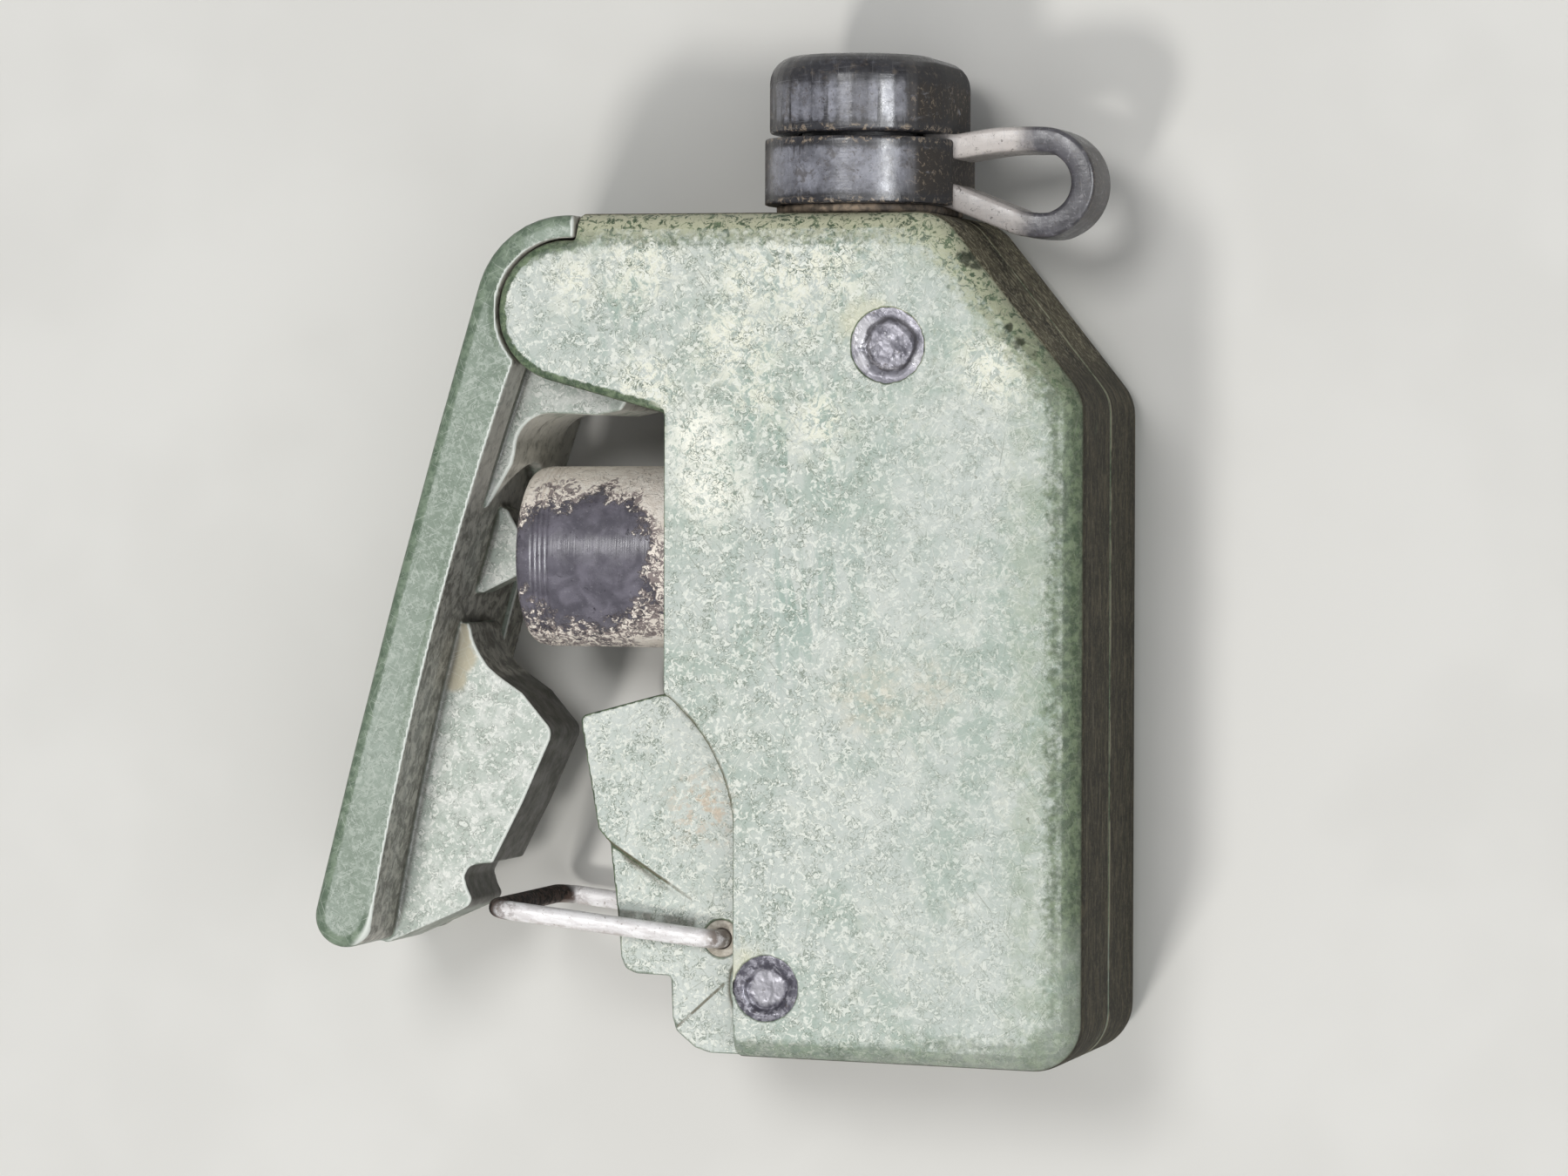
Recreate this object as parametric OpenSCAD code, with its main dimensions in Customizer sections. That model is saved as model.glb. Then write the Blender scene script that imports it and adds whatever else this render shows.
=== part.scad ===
// Squeeze-lever firing device, inert replica: the outer form and the hand mechanism of a
// hand-held unit with a squeeze lever, a plunger, a wire safety bail and a capped outlet.
// A plain solid block fills the place of the working parts, and nothing in it is electrical.
// It lies on its back shell. The origin is the middle of the outline, on the back face:
// +X runs from the lever to the flank, +Y from the heel to the dust cap, +Z to the front.

/* [Body] */
// Thickness over both shells
body_t = 31.75; // [31:0.25:33]
// X of the flank
flank_x = 39.7; // [39:0.1:41]
// Y of the top face
top_y = 34.8; // [34.6:0.1:35]
// Y of the heel at the flank
heel_y = -50.93; // [-52:0.01:-50.5]
// How much higher the heel is at its lever end
heel_rise = 0.9; // [0:0.1:1.5]
// Width of the chamfered shoulder
chamfer_w = 14.6; // [13:0.1:16]
// Height of the chamfered shoulder
chamfer_h = 18.4; // [17:0.1:20]
// Corner radius of the outline
corner_r = 5; // [4:0.5:6]
// Radius rolled round the outer edges
edge_r = 3.3; // [2.5:0.1:3.5]
// Wall thickness
wall = 2.4; // [2:0.1:2.8]
// X of the wall beside the plunger
palm_x = -2.8; // [-3:0.1:-2.6]

/* [Lever] */
// X of the lever's pivot
pivot_x = -13.1; // [-13.2:0.1:-13]
// Y of the lever's pivot
pivot_y = 24.9; // [24.8:0.1:25]
// Radius of the ears round the pivot
ear_r = 7.2; // [7:0.1:7.3]
// Thickness of each ear
ear_t = 7.25; // [7:0.05:7.4]
// Outer radius of the lever round the ears
lever_r = 9.7; // [9.6:0.1:9.9]
// Radius of the pivot pin
pin_r = 2; // [1.5:0.1:2.2]
// Depth of each side rail of the lever
rail_t = 5.4; // [5:0.1:5.6]
// Thickness of the latch tooth
tooth_t = 11; // [10:0.1:11]

/* [Tongue] */
// Step from the front face down to the tongue
tongue_step = 5.4; // [5:0.1:5.6]
// Width of the slot that the tooth enters
slot_w = 11.65; // [11.6:0.05:12]

/* [Plunger] */
// Outer radius of the plunger
plunger_r = 9.4; // [9.2:0.05:9.4]
// X of the plunger's end when it stands out
plunger_x = -20.6; // [-20.7:0.1:-20.5]
// Turns of the return spring
spring_turns = 9; // [7:1:10]
// Radius of the spring wire
spring_wire_r = 0.6; // [0.5:0.05:0.7]

/* [Bail] */
// Radius of the bail wire
bail_wire_r = 1; // [0.8:0.05:1.1]
// Distance from the bail's pivot to its cross bar
bail_l = 23.7; // [23.4:0.1:24]
// Angle of the bail when it blocks the lever
bail_angle = 173.4; // [172.6:0.1:174.2]

/* [Outlet and cap] */
// X of the outlet's middle
outlet_x = 14.65; // [14.5:0.05:14.8]
// Half the width of the dust cap
cap_hw = 9.1; // [8.8:0.05:9.2]
// Depth of the dust cap, front to back
cap_d = 28; // [27:0.5:28.5]
// Y of the top of the dust cap
cap_top_y = 50.8; // [50.5:0.1:51.5]
// Thickness of the strap
strap_t = 2.5; // [2:0.1:2.8]
// Width of the strap
strap_w = 8.5; // [8:0.1:9]

/* [Hidden] */

$fn = 64;
hull_fn = 40;
fillet_steps = 6;
// Chamfer along the joint of the shells and round the rim of the cap
seam = 0.2;
mid_z = body_t / 2;
far = 60;
eps = 0.01;

body_green = [0.66, 0.75, 0.66];
lever_green = [0.52, 0.64, 0.57];
black_plastic = [0.13, 0.12, 0.14];
black_rubber = [0.16, 0.16, 0.18];
bright_steel = [0.74, 0.71, 0.69];
dark_metal = [0.33, 0.33, 0.37];
cream_plastic = [0.82, 0.79, 0.7];
grey_block = [0.55, 0.55, 0.55];

// Lower edge of the ears, as a slope below the horizontal
ear_slope = 15.5;
ear_root_l = 14;
ear_edge_r = 0.8;
shoulder_x = -12.1;
pocket_x = -4.6;
pivot = [pivot_x, pivot_y];

// The step where the front face ends and the tongue begins is a round cove
cove_c = [-13.5, -28];
cove_r = 18;
step_x = cove_c.x + cove_r;
tongue_top_z = body_t - tongue_step;
slot_wall_x = -3.6;
slot_floor_y = -39.2;

hub_gap = 0.3;
hub_r = 6.8;
ear_gap = 0.2;
lever_edge_r = 0.9;
lever_end_c = [-36.5, -36.6];
lever_end_r = 3.2;
lever_bulge = 0.45;
rail_top = [-18.6, 19.9];
rail_foot = [-34.1, -40.3];
rail_bow = 1.35;
channel_inset = 0.6;
pocket_c = [-16.9, 11];
pocket_r = 3.7;
// Round recess in the lever that clears the plunger
clearance_c = [-24.75, 1.4];
clearance_r = 8.9;
clearance_lean = 16.5;
clearance_deep = 0.5;
nose_c = [pivot_x - 9.8, pivot_y - 24.9];
nose_r = 2.1;
nose_t = 4.2;

pin_l = 26;
running_gap = 0.06;

bail_pivot = [1.9, -38.4];
bail_z = body_t - 3.45;
bail_bend_r = 2.2;
bail_pin_l = 5.2;
bush_r = 1.9;
bush_l = 4.2;

plunger_inner_x = 4.5;
bush_x0 = palm_x + wall;
bush_x1 = bush_x0 + 7;
bush_outer_r = 11.6;
cradle_r = 13.3;
stem_r = 3;
stem_x1 = 20;
guide_x = 15;
guide_t = 2;
guide_hw = 9.5;
ring_x = guide_x + guide_t + 0.1;
ring_t = 0.9;
ring_groove_r = 2.4;
washer_t = 1;
thimble_wall = 2;
boss_r = 4.4;
boss_x1 = -12;
spring_r = 6.4;
spring_x0 = plunger_x + thimble_wall;
spring_x1 = guide_x - washer_t;

rivets = [[20.2, 21.4, 3.7], [7.9, -42.9, 3.25]];
rivet_shank_r = 1.9;
rivet_head_t = 1;
rivet_inset = 0.05;

collar_y0 = top_y + 0.9;
collar_y1 = 42.4;
collar_grow = 0.45;
cap_y0 = 42.9;
stub_hw = 5.8;
stub_d = 21.5;
stub_top_y = 48.2;
cap_edge_r = 2.8;

strap_loop_c = [33.2, 38];
strap_loop_r = 4.35;

// Points on an arc from angle a0 to a1
function arc(c, r, a0, a1, n = 12) =
    [for (i = [0:n]) let (a = a0 + (a1 - a0) * i / n) c + r * [cos(a), sin(a)]];

// Points on a shallow bow from p to q, which swells to the right of the way p to q
function bow(p, q, sag, n = 12) =
    let (d = q - p, side = [d.y, -d.x] / norm(d))
    [for (i = [0:n]) let (t = i / n) p + d * t + side * (4 * sag * t * (1 - t))];

function unit(v) = v / norm(v);
function inward(a, b) = let (u = unit(b - a)) [-u.y, u.x];

// Centre of the circle of radius r that touches both sides of corner b, anticlockwise
function corner_centre(a, b, c, r) =
    let (n1 = inward(a, b), n2 = inward(b, c)) b + r * (n1 + n2) / (1 + n1 * n2);

// The whole outline moved inward by r, as a list of corners
function inset(outline, r) =
    let (n = len(outline))
    [for (i = [0:n - 1])
        corner_centre(outline[(i + n - 1) % n], outline[i], outline[(i + 1) % n], r)];

// Outline of the body block, run on past the lever side, where it is cut back
block = [[-30, heel_y + heel_rise * (flank_x + 30) / (flank_x - step_x)],
         [flank_x, heel_y],
         [flank_x, top_y - chamfer_h],
         [flank_x - chamfer_w, top_y],
         [-30, top_y]];

// The part of the block that stands at full thickness
plateau = concat([[step_x, -far], [far, -far], [far, far], [shoulder_x, far],
                  [shoulder_x, pivot_y - 1], [palm_x, pivot_y - 1]],
                 arc(cove_c, cove_r, acos((palm_x - cove_c.x) / cove_r), 0, 14));

tongue = [[4.8, -50.1], [6.5, -50], [6.5, -13.2], [-4.7, -13.8], [-12.6, -15.95],
          [-13, -16.4], [-11.1, -27.5], [-10, -28.8], [-9.2, -35.9], [-8.8, -40.6],
          [-8.3, -41.7], [-7.2, -42.2], [-3.5, -42.3], [-3.3, -46.6], [-2.9, -47.8],
          [-0.9, -49.5], [0.6, -50]];

// A disc whose front rim is rolled over, and whose foot has a fine chamfer, on the plane z = 0
module half_pillow(r, edge, h) {
    rotate_extrude($fn = hull_fn)
        polygon(concat([[0, 0], [r - seam, 0], [r, seam]],
                       arc([r - edge, h - edge], edge, 0, 90, fillet_steps), [[0, h]]));
}

// A disc whose two rims are rolled over
module pillow(r, edge, h) {
    rotate_extrude($fn = hull_fn)
        polygon(concat([[0, 0]], arc([r - edge, edge], edge, -90, 0, fillet_steps),
                       arc([r - edge, h - edge], edge, 0, 90, fillet_steps), [[0, h]]));
}

module at(p, z = 0) {
    translate([p.x, p.y, z]) children();
}

// A layer of the shell, counted from the middle plane forward to z1
module layer(z1, z0 = mid_z) {
    translate([0, 0, z0]) linear_extrude(z1 - z0) children();
}

// A round bar or bore along X, on the plunger's axis
module along_x(x0, x1, r) {
    translate([x0, 0, mid_z]) rotate([0, 90, 0]) cylinder(h = x1 - x0, r = r);
}

// A shape that turns round the plunger's axis, from [radius, x] points
module turned(points) {
    translate([0, 0, mid_z]) rotate([0, 90, 0]) rotate_extrude() polygon(points);
}

// A flat-sided oval column along Y, between two heights
module oval(half_w, depth, y0, y1) {
    z = depth / 2 - half_w;
    for (s = [-1, 1])
        translate([outlet_x, y1, mid_z + s * z]) rotate([90, 0, 0]) cylinder(h = y1 - y0, r = half_w);
    translate([outlet_x - half_w, y0, mid_z - z]) cube([2 * half_w, y1 - y0, 2 * z]);
}

module shell_outside() {
    corners = inset(block, corner_r);
    intersection() {
        at([0, 0], mid_z) hull() for (c = corners) at(c) half_pillow(corner_r, edge_r, body_t - mid_z);
        layer(body_t + 1) polygon(plateau);
    }
    at(pivot, mid_z) hull() {
        half_pillow(ear_r, ear_edge_r, body_t - mid_z);
        at(ear_root_l * [cos(ear_slope), -sin(ear_slope)]) half_pillow(ear_r, ear_edge_r, body_t - mid_z);
    }
    layer(tongue_top_z) polygon(tongue);
}

module shell_cavity() {
    room = inset(block, wall);
    deep = body_t - wall;
    intersection() {
        layer(deep, mid_z - 1) polygon(room);
        union() {
            translate([palm_x + wall, -11, 0]) cube([far, far, far]);
            translate([step_x + wall, -far, 0]) cube([far, far, far]);
        }
    }
}

module shell_fittings() {
    for (r = rivets) at([r.x, r.y], mid_z) cylinder(h = body_t - wall - mid_z, r = 4.4);
    intersection() {
        along_x(bush_x0 - eps, bush_x0 + 5, cradle_r);
        layer(body_t - 1) square(2 * far, center = true);
    }
    for (s = [-1, 1])
        translate([guide_x - 1.8, s * 10.1 - 1.9, mid_z]) cube([guide_t + 3.6, 3.8, body_t - wall - mid_z]);
}

module shell_cuts() {
    // Room for the lever's hub between the ears
    translate([-far, 8, mid_z - 1]) cube([far + pocket_x, 32.15 - 8, body_t - ear_t - mid_z + 1]);
    // Slot for the latch tooth
    layer(mid_z + slot_w / 2, mid_z - 1)
        polygon([[-far / 2, slot_floor_y], [-7, slot_floor_y], [slot_wall_x, -32], [slot_wall_x, -17],
                 [-5.6, -11.5], [-far / 2, -11.5]]);
    at(pivot, mid_z) cylinder(h = pin_l / 2, r = pin_r);
    for (r = rivets) at([r.x, r.y], mid_z - 1) {
        cylinder(h = far, r = rivet_shank_r);
        translate([0, 0, body_t - rivet_head_t - mid_z + 1]) cylinder(h = far, r = r[2]);
    }
    at(bail_pivot, tongue_top_z - bush_l) cylinder(h = bush_l + 1, r = bush_r);
    bail_recess();
    along_x(palm_x - 1, bush_x0 + eps, plunger_r + 0.35);
    along_x(bush_x0, bush_x1, bush_outer_r);
    translate([guide_x, -guide_hw, 0]) cube([guide_t, 2 * guide_hw, body_t - wall]);
    oval(stub_hw, stub_d, top_y - wall - 1, top_y + 1);
}

// A ramp sunk in the tongue's face, which the bail's arms sweep over
module bail_recess() {
    at(bail_pivot, tongue_top_z) rotate([0, -2.4, 0]) translate([-bail_pivot.x, -bail_pivot.y, 0])
        layer(5, 0) polygon([[bail_pivot.x - 3, -34.6], [-10.6, -28.4], [-far / 2, -28.4],
                             [-far / 2, -47.6], [-2.9, -47.6], [bail_pivot.x + 0.4, -42.8]]);
}

module shell_half() {
    difference() {
        union() {
            difference() {
                shell_outside();
                shell_cavity();
            }
            shell_fittings();
        }
        shell_cuts();
    }
}

module front_shell() {
    color(body_green) shell_half();
}

module back_shell() {
    color(body_green) translate([0, 0, body_t]) mirror([0, 0, 1]) shell_half();
}

// Plain filler in the lower chamber, with no working parts
module inert_block() {
    x0 = 14;
    y0 = heel_y + wall + 5;
    block_w = flank_x - wall - 0.6 - x0;
    block_h = -14 - y0;
    block_d = body_t - 2 * wall - 0.6;
    color(grey_block) translate([x0, y0, wall + 0.3]) cube([block_w, block_h, block_d]);
}

// A rivet with a rolled ring and a sunk centre at each end
module rivet(r) {
    reach = body_t / 2 - rivet_inset;
    head = [[0, reach - 0.55], [r[2] * 0.6, reach - 0.45], [r[2] * 0.68, reach - 0.1],
            [r[2] * 0.82, reach], [r[2] - 0.15, reach - 0.2], [r[2], reach - 0.6],
            [r[2], body_t / 2 - rivet_head_t], [rivet_shank_r, body_t / 2 - rivet_head_t]];
    color(dark_metal) at([r.x, r.y], mid_z)
        rotate_extrude() polygon(concat(head, [for (i = [len(head) - 1:-1:0]) [head[i].x, -head[i].y]]));
}

module upper_rivet() {
    rivet(rivets[0]);
}

module lower_rivet() {
    rivet(rivets[1]);
}

// The lever's outer form: a long bar round the pivot, whose outer edges are rolled over
module lever_blank() {
    lean = [-lever_end_c.y + pivot_y, lever_end_c.x - pivot_x];
    out = unit(lean) * -1;
    p = pivot + lever_r * out;
    q = lever_end_c + lever_end_r * out;
    hull() {
        at(pivot) pillow(lever_r, lever_edge_r, body_t);
        at(lever_end_c) pillow(lever_end_r, lever_edge_r, body_t);
        for (t = [0.25:0.25:0.75])
            at(p + (q - p) * t + out * (4 * lever_bulge * t * (1 - t) - lever_end_r))
                pillow(lever_end_r, lever_edge_r, body_t);
    }
}

// Everything on the palm side of the lever's inner edge, moved outward by dx
function palm_side(dx) =
    concat([for (b = bow(rail_top, rail_foot, rail_bow)) [b.x - dx, b.y]],
           [[rail_foot.x - dx, -far], [far, -far], [far, far], [shoulder_x - ear_gap, far],
            [shoulder_x - ear_gap, pivot_y]]);

module lever_shell() {
    difference() {
        lever_blank();
        at(pivot, -1) cylinder(h = body_t + 2, r = ear_r + ear_gap);
        translate([0, 0, -1]) linear_extrude(body_t + 2) polygon(palm_side(0));
        translate([0, 0, rail_t]) linear_extrude(body_t - 2 * rail_t) polygon(palm_side(channel_inset));
    }
}

module lever_hub() {
    hub_h = body_t - 2 * ear_t - 2 * hub_gap;
    at([0, 0], ear_t + hub_gap) {
        at(pivot) cylinder(h = hub_h, r = hub_r);
        linear_extrude(hub_h)
            polygon(concat([[pivot_x, pivot_y + 8.4], [pivot_x - 5, pivot_y + 6.8],
                            [pivot_x - 8.4, pivot_y + 1.5], [-26, 5], [-23.6, 5], [-20.9, 9.6]],
                           arc(pocket_c, pocket_r, 180, 90, 10),
                           [[-12, 14.5], [-9.4, 15], [-8.2, 16.8], [pivot_x + hub_r, pivot_y],
                            [pivot_x, pivot_y + hub_r]]));
    }
}

module plunger_clearance() {
    at(clearance_c, mid_z) rotate([0, 90, -clearance_lean])
        translate([0, 0, -clearance_deep]) cylinder(h = far, r = clearance_r);
}

// The rib that bears on the plunger's end
module lever_nose() {
    translate([0, 0, mid_z - nose_t / 2]) linear_extrude(nose_t)
        polygon(concat([[-28.6, -2.6], [-26.2, -3.9]], arc(nose_c, nose_r, -60, 50),
                       [[-23.4, 4.9], [-26, 5.4]]));
}

// The tooth that the bail blocks, and that enters the tongue's slot
module lever_tooth() {
    translate([0, 0, mid_z - tooth_t / 2]) linear_extrude(tooth_t)
        polygon(concat([[-36.6, -39.4], [-35.2, -40], [-27.1, -36.4], [-26.4, -36], [-26, -35.3],
                        [-26.5, -34.3], [-26.9, -33], [-26.4, -32], [-25.7, -31.7], [-23.8, -31.5],
                        [-20.6, -25.2]],
                       arc([-19.1, -18.2], 1.5, -25, 50, 6),
                       [[-20.7, -14], [-23.2, -12.3], [-24.4, -11.3], [-25.4, -9.8], [-26, -8.5],
                        [-26.3, -7.1], [-26.7, -6.7], [-27.4, -7.4], [-29.5, -6.9]]));
}

module lever() {
    color(lever_green) difference() {
        union() {
            difference() {
                union() {
                    lever_shell();
                    lever_hub();
                }
                plunger_clearance();
            }
            lever_nose();
            lever_tooth();
        }
        at(pivot) cylinder(h = body_t, r = pin_r + running_gap);
    }
}

module lever_pin() {
    color(bright_steel) at(pivot, mid_z - pin_l / 2) cylinder(h = pin_l, r = pin_r);
}

// The black button: a thimble with turned rings near its end
module plunger_cap() {
    r = plunger_r;
    x = plunger_x;
    rim = [[r - 1.2, x], [r - 0.75, x + 0.12], [r - 0.38, x + 0.42], [r - 0.22, x + 0.9]];
    rings = [for (g = [1.9, 2.7, 3.3]) each [[r - 0.18, x + g], [r - 0.3, x + g + 0.1],
                                             [r - 0.3, x + g + 0.25], [r - 0.16, x + g + 0.35]]];
    color(black_plastic) turned(concat([[0, x]], rim, rings,
        [[r - 0.08, x + 6], [r, x + 10], [r, plunger_inner_x], [r - thimble_wall, plunger_inner_x],
         [r - thimble_wall, spring_x0], [boss_r, spring_x0], [boss_r, boss_x1], [stem_r, boss_x1],
         [stem_r, spring_x0 + 0.2], [0, spring_x0 + 0.2]]));
}

module plunger_stem() {
    color(bright_steel) turned([[0, spring_x0 + 0.2], [stem_r, spring_x0 + 0.2], [stem_r, ring_x],
        [ring_groove_r, ring_x], [ring_groove_r, ring_x + ring_t], [stem_r, ring_x + ring_t],
        [stem_r, stem_x1 - 0.6], [stem_r - 0.6, stem_x1], [0, stem_x1]]);
}

// A snap ring, open on one side, which keeps the stem from coming out
module retaining_ring() {
    color(bright_steel) difference() {
        along_x(ring_x, ring_x + ring_t, 5);
        along_x(ring_x - 1, ring_x + ring_t + 1, ring_groove_r);
        translate([ring_x - 1, -far, mid_z - 1.8]) cube([ring_t + 2, far, 3.6]);
    }
}

// One coil after another, swept as rings of points that join up
module plunger_spring() {
    sides = 8;
    steps = spring_turns * 20;
    x0 = spring_x0 + spring_wire_r + 0.05;
    pitch = (spring_x1 - 2 * spring_wire_r - 0.1 - spring_x0) / spring_turns;
    rings = [for (i = [0:steps]) let (a = 360 * i * spring_turns / steps)
        [for (j = [0:sides - 1]) let (b = 360 * j / sides, r = spring_r + spring_wire_r * cos(b))
            [x0 + pitch * a / 360 + spring_wire_r * sin(b), r * cos(a), mid_z + r * sin(a)]]];
    walls = [for (i = [0:steps - 1], j = [0:sides - 1]) let (k = (j + 1) % sides)
        [i * sides + j, i * sides + k, (i + 1) * sides + k, (i + 1) * sides + j]];
    first = [for (j = [sides - 1:-1:0]) j];
    last = [for (j = [0:sides - 1]) steps * sides + j];
    color(bright_steel) polyhedron([for (r = rings) each r], concat([first, last], walls));
}

module spring_washer() {
    color(bright_steel) difference() {
        along_x(guide_x - washer_t, guide_x, 8);
        along_x(guide_x - washer_t - 1, guide_x + 1, stem_r + 0.3);
    }
}

module stem_guide() {
    color(dark_metal) difference() {
        translate([guide_x, -guide_hw, wall]) cube([guide_t, 2 * guide_hw, body_t - 2 * wall]);
        along_x(guide_x - 1, guide_x + guide_t + 1, stem_r + running_gap);
    }
}

module plunger_bush() {
    bore = plunger_r + 0.08;
    seat = bush_x0 + 1;
    color(black_plastic) turned([[bore, bush_x0], [bush_outer_r, bush_x0], [bush_outer_r, bush_x1],
        [bore, bush_x1], [bore, seat + 1.6], [bush_outer_r - 0.7, seat + 1.6],
        [bush_outer_r - 0.7, seat], [bore, seat]]);
}

module plunger_seal() {
    section_r = 0.72;
    color(black_rubber) translate([bush_x0 + 1.8, 0, mid_z]) rotate([0, 90, 0])
        rotate_extrude() translate([bush_outer_r - 0.7 - section_r, 0]) circle(r = section_r, $fn = 32);
}

// One arm of the bail from the pivot out, and its half of the cross bar
module bail_half() {
    bend = bail_bend_r;
    translate([0, 0, -bail_pin_l]) cylinder(h = bail_pin_l - bend, r = bail_wire_r);
    translate([bend, 0, -bend]) rotate([90, 0, 0]) rotate([0, 0, 90])
        rotate_extrude(angle = 90) translate([bend, 0]) circle(r = bail_wire_r, $fn = 32);
    translate([bend, 0, 0]) rotate([0, 90, 0]) cylinder(h = bail_l - 2 * bend, r = bail_wire_r);
    translate([bail_l - bend, 0, -bend]) rotate([90, 0, 0])
        rotate_extrude(angle = 90) translate([bend, 0]) circle(r = bail_wire_r, $fn = 32);
    translate([bail_l, 0, mid_z - bail_z]) cylinder(h = bail_z - mid_z - bend, r = bail_wire_r);
}

module safety_bail() {
    color(bright_steel) {
        at(bail_pivot, bail_z) rotate([0, 0, bail_angle]) bail_half();
        at(bail_pivot, body_t - bail_z) mirror([0, 0, 1]) rotate([0, 0, bail_angle]) bail_half();
    }
}

module bail_bushes() {
    color(cream_plastic) for (z = [tongue_top_z - bush_l, body_t - tongue_top_z]) at(bail_pivot, z)
        difference() {
            cylinder(h = bush_l, r = bush_r);
            translate([0, 0, -1]) cylinder(h = bush_l + 2, r = bail_wire_r + running_gap);
        }
}

// The blank moulded post that the cap covers: no contacts and no bore
module outlet_stub() {
    color(black_plastic) {
        oval(stub_hw, stub_d, top_y - wall, stub_top_y);
        oval(stub_hw + 1.2, stub_d + 2.4, top_y - wall - 1.8, top_y - wall);
    }
}

module outlet_gasket() {
    color(black_rubber) difference() {
        oval(cap_hw - 0.7, cap_d - 1.6, top_y, collar_y0);
        oval(stub_hw, stub_d, top_y - 1, collar_y0 + 1);
    }
}

module cap_collar() {
    grow = 2 * collar_grow;
    color(black_rubber) difference() {
        oval(cap_hw + collar_grow, cap_d + grow, collar_y0, collar_y1);
        oval(stub_hw, stub_d, collar_y0 - 1, collar_y1 + 1);
    }
}

module dust_cap() {
    z = cap_d / 2 - cap_hw;
    color(black_rubber) difference() {
        translate([outlet_x, cap_y0, mid_z]) hull() for (s = [-1, 1])
            translate([0, 0, s * z]) rotate([-90, 0, 0]) half_pillow(cap_hw, cap_edge_r, cap_top_y - cap_y0);
        oval(stub_hw + 0.15, stub_d + 0.3, cap_y0 - 1, stub_top_y + 0.2);
    }
}

// A flat loop that ties the cap to its collar
module cap_strap() {
    side_x = outlet_x + cap_hw;
    foot = side_x + collar_grow;
    path = concat([[foot, 36.6], [26.4, 35.75], [29.3, 34.6], [31.4, 33.85]],
                  arc(strap_loop_c, strap_loop_r, -82, 88, 16),
                  [[29.4, 42.35], [26.5, 42], [foot, 41.6]]);
    last = len(path) - 1;
    across = [for (i = [0:last])
        let (d = i == 0 ? [1, 0] : i == last ? [-1, 0] : unit(path[i + 1] - path[i - 1]))
        [d.y, -d.x] * strap_t / 2];
    outer = [for (i = [0:last]) path[i] + across[i]];
    inner = [for (i = [last:-1:0]) path[i] - across[i]];
    color(black_rubber) translate([0, 0, mid_z - strap_w / 2]) linear_extrude(strap_w)
        polygon(concat(outer, inner));
}

front_shell();
back_shell();
inert_block();
upper_rivet();
lower_rivet();
lever();
lever_pin();
plunger_cap();
plunger_stem();
retaining_ring();
plunger_spring();
spring_washer();
stem_guide();
plunger_bush();
plunger_seal();
safety_bail();
bail_bushes();
outlet_stub();
outlet_gasket();
cap_collar();
dust_cap();
cap_strap();
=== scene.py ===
import math

import bpy
import numpy as np
from mathutils import Matrix, Vector, noise


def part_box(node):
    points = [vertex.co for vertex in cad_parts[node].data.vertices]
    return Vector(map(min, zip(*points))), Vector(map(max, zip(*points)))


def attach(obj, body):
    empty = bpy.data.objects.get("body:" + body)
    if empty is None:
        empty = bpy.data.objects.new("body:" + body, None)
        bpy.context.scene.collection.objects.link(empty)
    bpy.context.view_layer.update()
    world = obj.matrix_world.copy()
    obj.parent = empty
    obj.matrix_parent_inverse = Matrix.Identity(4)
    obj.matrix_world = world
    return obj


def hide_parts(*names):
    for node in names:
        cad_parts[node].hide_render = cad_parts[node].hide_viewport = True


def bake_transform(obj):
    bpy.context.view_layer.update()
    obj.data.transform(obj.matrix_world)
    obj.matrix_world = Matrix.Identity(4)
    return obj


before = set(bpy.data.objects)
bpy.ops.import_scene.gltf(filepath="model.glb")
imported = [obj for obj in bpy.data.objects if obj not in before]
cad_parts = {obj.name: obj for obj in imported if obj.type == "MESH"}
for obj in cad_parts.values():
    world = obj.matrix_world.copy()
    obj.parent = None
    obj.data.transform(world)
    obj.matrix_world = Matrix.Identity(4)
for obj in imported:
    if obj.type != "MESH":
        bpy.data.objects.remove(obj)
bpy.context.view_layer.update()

# Looks for the inert replica of a squeeze-lever firing device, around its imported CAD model.
# Lengths in this file are in millimetres, and MM turns them into Blender's metres.
MM = 0.001
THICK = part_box("front_shell")[1].z / MM
MID = THICK / 2
# Places on the front view: the rivets' centres, and the axes that the lever and the bail turn on
UPPER_RIVET = (20.2, 21.4)
LOWER_RIVET = (7.9, -42.9)
LEVER_PIVOT = (-13.1, 24.9)
BAIL_PIVOT = (1.9, -38.4)
# The way that the bail points at rest, in degrees, and how much the open lever leans from upright
BAIL_TURN = 173.4
LEVER_LEAN = 0.2614


# ---------------------------------------------------------------- meshes

def add_mesh(name, points, faces):
    """A new object from points in millimetres and lists of corners."""
    mesh = bpy.data.meshes.new(name)
    mesh.from_pydata((np.asarray(points, float) * MM).tolist(), [], faces)
    mesh.validate()
    mesh.polygons.foreach_set("use_smooth", [True] * len(mesh.polygons))
    obj = bpy.data.objects.new(name, mesh)
    bpy.context.scene.collection.objects.link(obj)
    return obj


def grid_faces(rings, sides):
    """Faces between rings of the same number of points, closed round, with a cap at each end."""
    faces = [
        (i * sides + j, i * sides + (j + 1) % sides, (i + 1) * sides + (j + 1) % sides, (i + 1) * sides + j)
        for i in range(rings - 1) for j in range(sides)
    ]
    faces.append(tuple(range(sides - 1, -1, -1)))
    faces.append(tuple((rings - 1) * sides + j for j in range(sides)))
    return faces


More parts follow.
